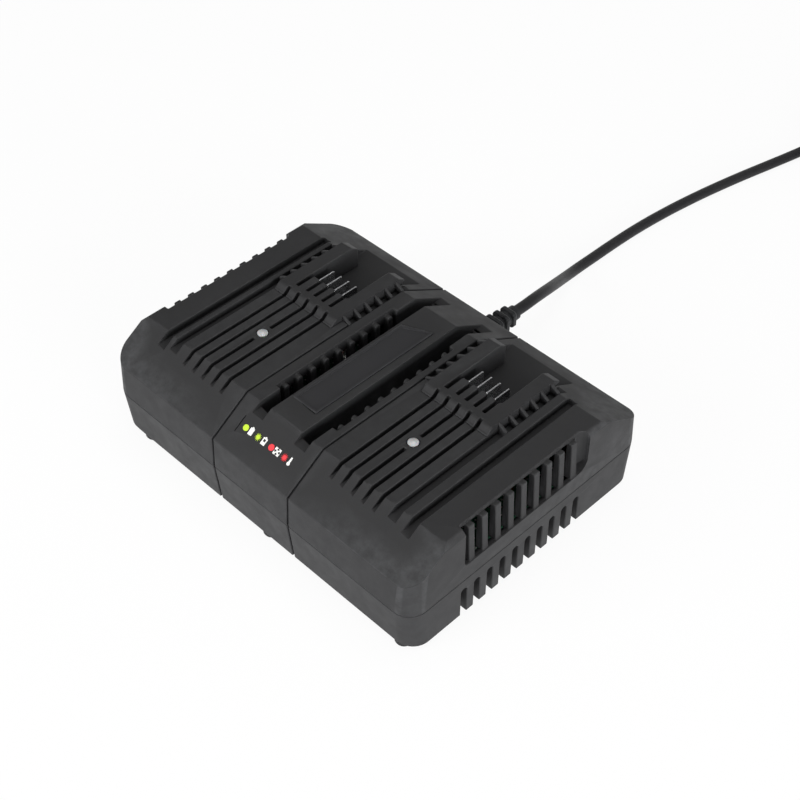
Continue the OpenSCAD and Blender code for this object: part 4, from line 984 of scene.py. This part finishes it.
class Paintshop:
    """Keeps one material for each slot and puts it on nodes and pieces."""

    def __init__(self) -> None:
        """Starts with no material made."""
        self.made: dict[Slot, bpy.types.Material] = {}

    def material(self, slot: Slot) -> bpy.types.Material:
        """Makes a slot's material the first time it is asked for.

        Args:
            slot: The slot.

        Returns:
            The material.
        """
        if slot not in self.made:
            self.made[slot] = FINISHES[slot].material(slot.value)
        return self.made[slot]

    def dress_nodes(self) -> None:
        """Puts its slot's material on every CAD node that stays as it is."""
        for slot, names in NODE_SLOTS.items():
            for name in names:
                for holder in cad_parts[name].material_slots:
                    holder.material = self.material(slot)

    def finish_piece(self, piece: bpy.types.Object, slot: Slot, *nodes: str) -> None:
        """Paints a new piece, puts it on the housing and names the nodes that it stands for.

        Args:
            piece: The new piece.
            slot: The slot that it takes its finish from.
            nodes: The CAD nodes that it replaces.
        """
        piece.data.materials.clear()
        piece.data.materials.append(self.material(slot))
        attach(piece, HOUSING)
        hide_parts(*nodes)
        LOG.info("piece %s on %s, in place of %s", piece.name, HOUSING, ", ".join(nodes))

    def mould(self, name: str, node: str, slot: Slot, rounding: EdgeRounding) -> bpy.types.Object:
        """Makes a rounded and painted piece in the place of one CAD node.

        Args:
            name: The new piece's name.
            node: The CAD node that it replaces.
            slot: The slot that it takes its finish from.
            rounding: How its edges are rounded.

        Returns:
            The new piece.
        """
        piece = rounding.piece(name, node)
        self.finish_piece(piece, slot, node)
        return piece


@dataclass(frozen=True)
class Lamp:
    """A square lamp that faces the charger: its side in metres, its power in watts."""

    name: str
    place: Point
    side: float
    power: float
    aim: Point = (0.0, 0.0, 0.03)

    def hang(self) -> None:
        """Hangs the lamp in its place."""
        data = bpy.data.lights.new(self.name, "AREA")
        data.shape = "SQUARE"
        data.size = self.side
        data.energy = self.power
        lamp = new_object(self.name, data)
        lamp.location = self.place
        back = Vector(self.place) - Vector(self.aim)
        lamp.rotation_euler = back.to_track_quat("Z", "Y").to_euler()


@dataclass
class Studio:
    """Pale floor, soft lamps, world and camera."""

    floor_reach: float = 40.0
    floor_drop: float = 0.0002
    floor_white: float = 0.86
    floor_roughness: float = 0.9
    floor_glow: float = 1.02
    shadow_share: float = 0.1
    eye: Point = (0.434069, -0.411012, 0.637551)
    right: Point = (0.70571, 0.70850, 0.0)
    upward: Point = (-0.50107, 0.49911, 0.70698)
    backward: Point = (0.50089, -0.49892, 0.70724)
    lens: float = 67.39
    sensor: float = 36.0
    near: float = 0.01
    far: float = 200.0
    sky: tuple[Band, ...] = ((0.0, 1.0), (0.14, 1.0), (0.4, 0.25), (1.0, 0.12))
    lamps: tuple[Lamp, ...] = (
        Lamp("lamp_right", (1.7, -0.3, 0.35), side=1.1, power=30.0),
        Lamp("lamp_front", (-0.5, -1.8, 0.6), side=1.2, power=28.0),
        Lamp("lamp_over", (0.1, 0.3, 2.2), side=1.4, power=15.0),
    )

    def build(self) -> None:
        """Builds the whole studio."""
        self.camera()
        self.floor()
        self.world()
        for lamp in self.lamps:
            lamp.hang()
        bpy.context.scene.view_settings.view_transform = "Standard"

    def camera(self) -> None:
        """Places the camera by its own three axes."""
        data = bpy.data.cameras.new("studio_camera")
        data.lens = self.lens
        data.sensor_width = self.sensor
        data.clip_start = self.near
        data.clip_end = self.far
        data.dof.use_dof = False
        camera = new_object("studio_camera", data)
        axes = Matrix((self.right, self.upward, self.backward)).transposed().to_4x4()
        camera.matrix_world = Matrix.Translation(self.eye) @ axes
        bpy.context.scene.camera = camera

    def floor(self) -> None:
        """Lays the floor."""
        reach = self.floor_reach
        corners = ((-reach, -reach), (reach, -reach), (reach, reach), (-reach, reach))
        mesh = bpy.data.meshes.new("studio_floor")
        mesh.from_pydata([(x, y, -self.floor_drop) for x, y in corners], [], [(0, 1, 2, 3)])
        mesh.materials.append(self.paper())
        new_object("studio_floor", mesh)

    def paper(self) -> bpy.types.Material:
        """Makes the floor's paper: white to the eye and to gloss, with a share of the shadow.

        Returns:
            The material.
        """
        material = bpy.data.materials.new("studio_floor")
        material.use_nodes = True
        material.node_tree.nodes.clear()
        sheet = NodeSheet(material.node_tree)
        paper = sheet.add("ShaderNodeBsdfPrincipled", {"Base Color": (self.floor_white,) * 3,
                                                       "Roughness": self.floor_roughness,
                                                       "Specular IOR Level": 0.0})
        glow = sheet.add("ShaderNodeEmission", {"Color": (1.0, 1.0, 1.0),
                                                "Strength": self.floor_glow})
        path = sheet.add("ShaderNodeLightPath").outputs
        seen = sheet.math("MAXIMUM", path["Is Camera Ray"], path["Is Glossy Ray"])
        seen = sheet.math("MAXIMUM", seen, path["Is Transmission Ray"])
        share = sheet.math("MULTIPLY", seen, 1.0 - self.shadow_share)
        mixed = sheet.add("ShaderNodeMixShader", {0: share, 1: paper.outputs[0],
                                                  2: glow.outputs[0]})
        sheet.add("ShaderNodeOutputMaterial", {"Surface": mixed.outputs[0]})
        return material

    def world(self) -> None:
        """Makes the surround: white at the horizon, dimmer overhead."""
        world = bpy.data.worlds.new("studio_surround")
        world.use_nodes = True
        world.node_tree.nodes.clear()
        sheet = NodeSheet(world.node_tree)
        way = sheet.add("ShaderNodeTexCoord").outputs["Generated"]
        height = sheet.add("ShaderNodeSeparateXYZ", {0: way}).outputs["Z"]
        ramp = sheet.add("ShaderNodeValToRGB", {0: height})
        elements = ramp.color_ramp.elements
        while len(elements) < len(self.sky):
            elements.new(0.5)
        for element, (position, level) in zip(elements, self.sky):
            element.position = position
            element.color = (level, level, level, 1.0)
        background = sheet.add("ShaderNodeBackground", {"Color": ramp.outputs[0], "Strength": 1.0})
        sheet.add("ShaderNodeOutputWorld", {"Surface": background.outputs[0]})
        bpy.context.scene.world = world


@dataclass(frozen=True)
class CoilLayer:
    """One stretch of even turns in the coil: millimetres, and degrees of sweep."""

    radius: float
    height: float
    sweep: float


@dataclass
class MainsCord:
    """The mains cord: lead, coil and tail in one run, with its tie, strain relief and plug.

    The route is in millimetres, and the exit, the diameter and the roundings are in metres.
    """

    paint: Paintshop
    exit: Point = (0.0, 0.120, 0.0307)
    diameter: float = 0.007
    lead: tuple[Point, ...] = (
        (0, 120, 30.7), (0, 129, 30.5), (-0.8, 139, 29.6), (-2.8, 150, 26.8), (-6, 161, 22.2),
        (-10, 172, 16.6), (-14, 183, 11), (-17, 194, 6.8), (-18.8, 206, 4.4), (-19.2, 220, 3.6),
        (-19, 242, 3.5), (-18, 266, 3.5), (-15.8, 290, 3.5), (-12.4, 315, 3.5), (-8, 340, 3.5),
        (-2.8, 365, 3.5), (3, 390, 3.5), (8.4, 413, 3.7), (12.2, 431, 4.1))
    tail: tuple[Point, ...] = (
        (95, 494, 11.7), (104, 489, 11.8), (113, 482, 11), (120, 472.5, 8.4), (124.6, 461, 5.6),
        (126.6, 448, 4.1), (127, 436, 4.2), (127, 425, 5.8), (127, 415, 7.6), (127, 408, 8))
    centre: tuple[float, float] = (64.0, 455.0)
    layers: tuple[CoilLayer, ...] = (
        CoilLayer(49.8, 4.6, 270), CoilLayer(42.6, 4.6, 270), CoilLayer(35.4, 4.6, 270),
        CoilLayer(35.4, 11.8, 270), CoilLayer(42.6, 11.8, 315), CoilLayer(49.8, 11.8, 300))
    entry: float = 180.0
    crossing: float = 45.0
    coil_step: float = 15.0
    steps_along: int = 4
    steps_round: int = 4
    boot_rounding: EdgeRounding = EdgeRounding(width=0.0006)
    tie_rounding: EdgeRounding = EdgeRounding(width=0.0004)
    plug_rounding: EdgeRounding = EdgeRounding(width=0.0012, segments=3)

    def build(self) -> None:
        """Builds the cord and what is on it."""
        tie = self.paint.mould("coil_strap", "cord_tie", Slot.BOOT, self.tie_rounding)
        plug = self.paint.mould("mains_plug", "plug_body", Slot.PLUG, self.plug_rounding)
        boot = self.paint.mould("cord_boot", "cord_strain_relief", Slot.BOOT, self.boot_rounding)
        self.run(boot, tie, plug)

    def coil_stops(self) -> list[tuple[float, float, float]]:
        """Lists where the coil's layers begin and end.

        Returns:
            The angle turned so far, the radius and the height at each of these places.
        """
        stops: list[tuple[float, float, float]] = []
        turned = 0.0
        for layer in self.layers:
            for angle in (turned, turned + layer.sweep):
                stops.append((angle, layer.radius, layer.height))
            turned += layer.sweep + self.crossing
        return stops

    def coil_points(self) -> list[Point]:
        """Winds the coil clockwise from the lead's side.

        Returns:
            The coil's points in millimetres.
        """
        stops = self.coil_stops()
        points = []
        for step in range(int(stops[-1][0] / self.coil_step) + 1):
            angle = step * self.coil_step
            for (a0, r0, z0), (a1, r1, z1) in zip(stops, stops[1:]):
                if a0 <= angle <= a1:
                    share = (angle - a0) / (a1 - a0)
                    eased = share * share * (3 - 2 * share)
                    radius = r0 + (r1 - r0) * eased
                    height = z0 + (z1 - z0) * eased
                    break
            way = math.radians(self.entry - angle)
            points.append((self.centre[0] + radius * math.cos(way),
                           self.centre[1] + radius * math.sin(way), height))
        return points

    def run(self, *on_it: bpy.types.Object) -> None:
        """Args:
            on_it: The pieces that are on the cord. Not used.
        """
        points = [*self.lead, *self.coil_points(), *self.tail]
        data = bpy.data.curves.new("mains_cord", "CURVE")
        data.dimensions = "3D"
        data.bevel_depth = self.diameter / 2
        data.bevel_resolution = self.steps_round
        data.resolution_u = self.steps_along
        data.use_fill_caps = True
        spline = data.splines.new("BEZIER")
        spline.bezier_points.add(len(points) - 1)
        for knot, point in zip(spline.bezier_points, points):
            knot.co = Vector(point) * MM
            knot.handle_left_type = knot.handle_right_type = "AUTO"
        spline.use_smooth = True
        cord = new_object("mains_cord", data)
        self.paint.finish_piece(cord, Slot.JACKET, "cord_lead", "cord_coil", "cord_end")


@dataclass
class Housing:
    """The two shells and the badge between the bays."""

    paint: Paintshop
    shell_rounding: EdgeRounding = EdgeRounding(width=0.0005)
    badge_rounding: EdgeRounding = EdgeRounding(width=0.00015)

    def build(self) -> None:
        """Makes the shells and the badge with rounded edges."""
        self.paint.mould("cover_moulding", "upper_cover", Slot.COVER, self.shell_rounding)
        self.paint.mould("base_moulding", "lower_base", Slot.BASE, self.shell_rounding)
        self.paint.mould("badge_plate", "centre_badge", Slot.BADGE, self.badge_rounding)


@dataclass
class Bays:
    """Terminal blocks and contact blades of both bays."""

    paint: Paintshop
    sides: tuple[str, ...] = ("left", "right")
    block_rounding: EdgeRounding = EdgeRounding(width=0.0004)
    blade_rounding: EdgeRounding = EdgeRounding(width=0.0002)

    def build(self) -> None:
        """Makes the block and the blades of each bay with rounded edges."""
        for side in self.sides:
            self.paint.mould(f"bay_block_{side}", f"terminal_block_{side}", Slot.TERMINAL,
                             self.block_rounding)
            self.paint.mould(f"bay_blades_{side}", f"contact_blades_{side}", Slot.CONTACT,
                             self.blade_rounding)


def main() -> None:
    """Builds the studio and every piece."""
    logging.basicConfig(level=logging.INFO, format="%(name)s: %(message)s")
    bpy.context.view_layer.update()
    Studio().build()
    paint = Paintshop()
    MainsCord(paint).build()
    Housing(paint).build()
    Bays(paint).build()
    paint.dress_nodes()


if __name__ == "__main__":
    main()
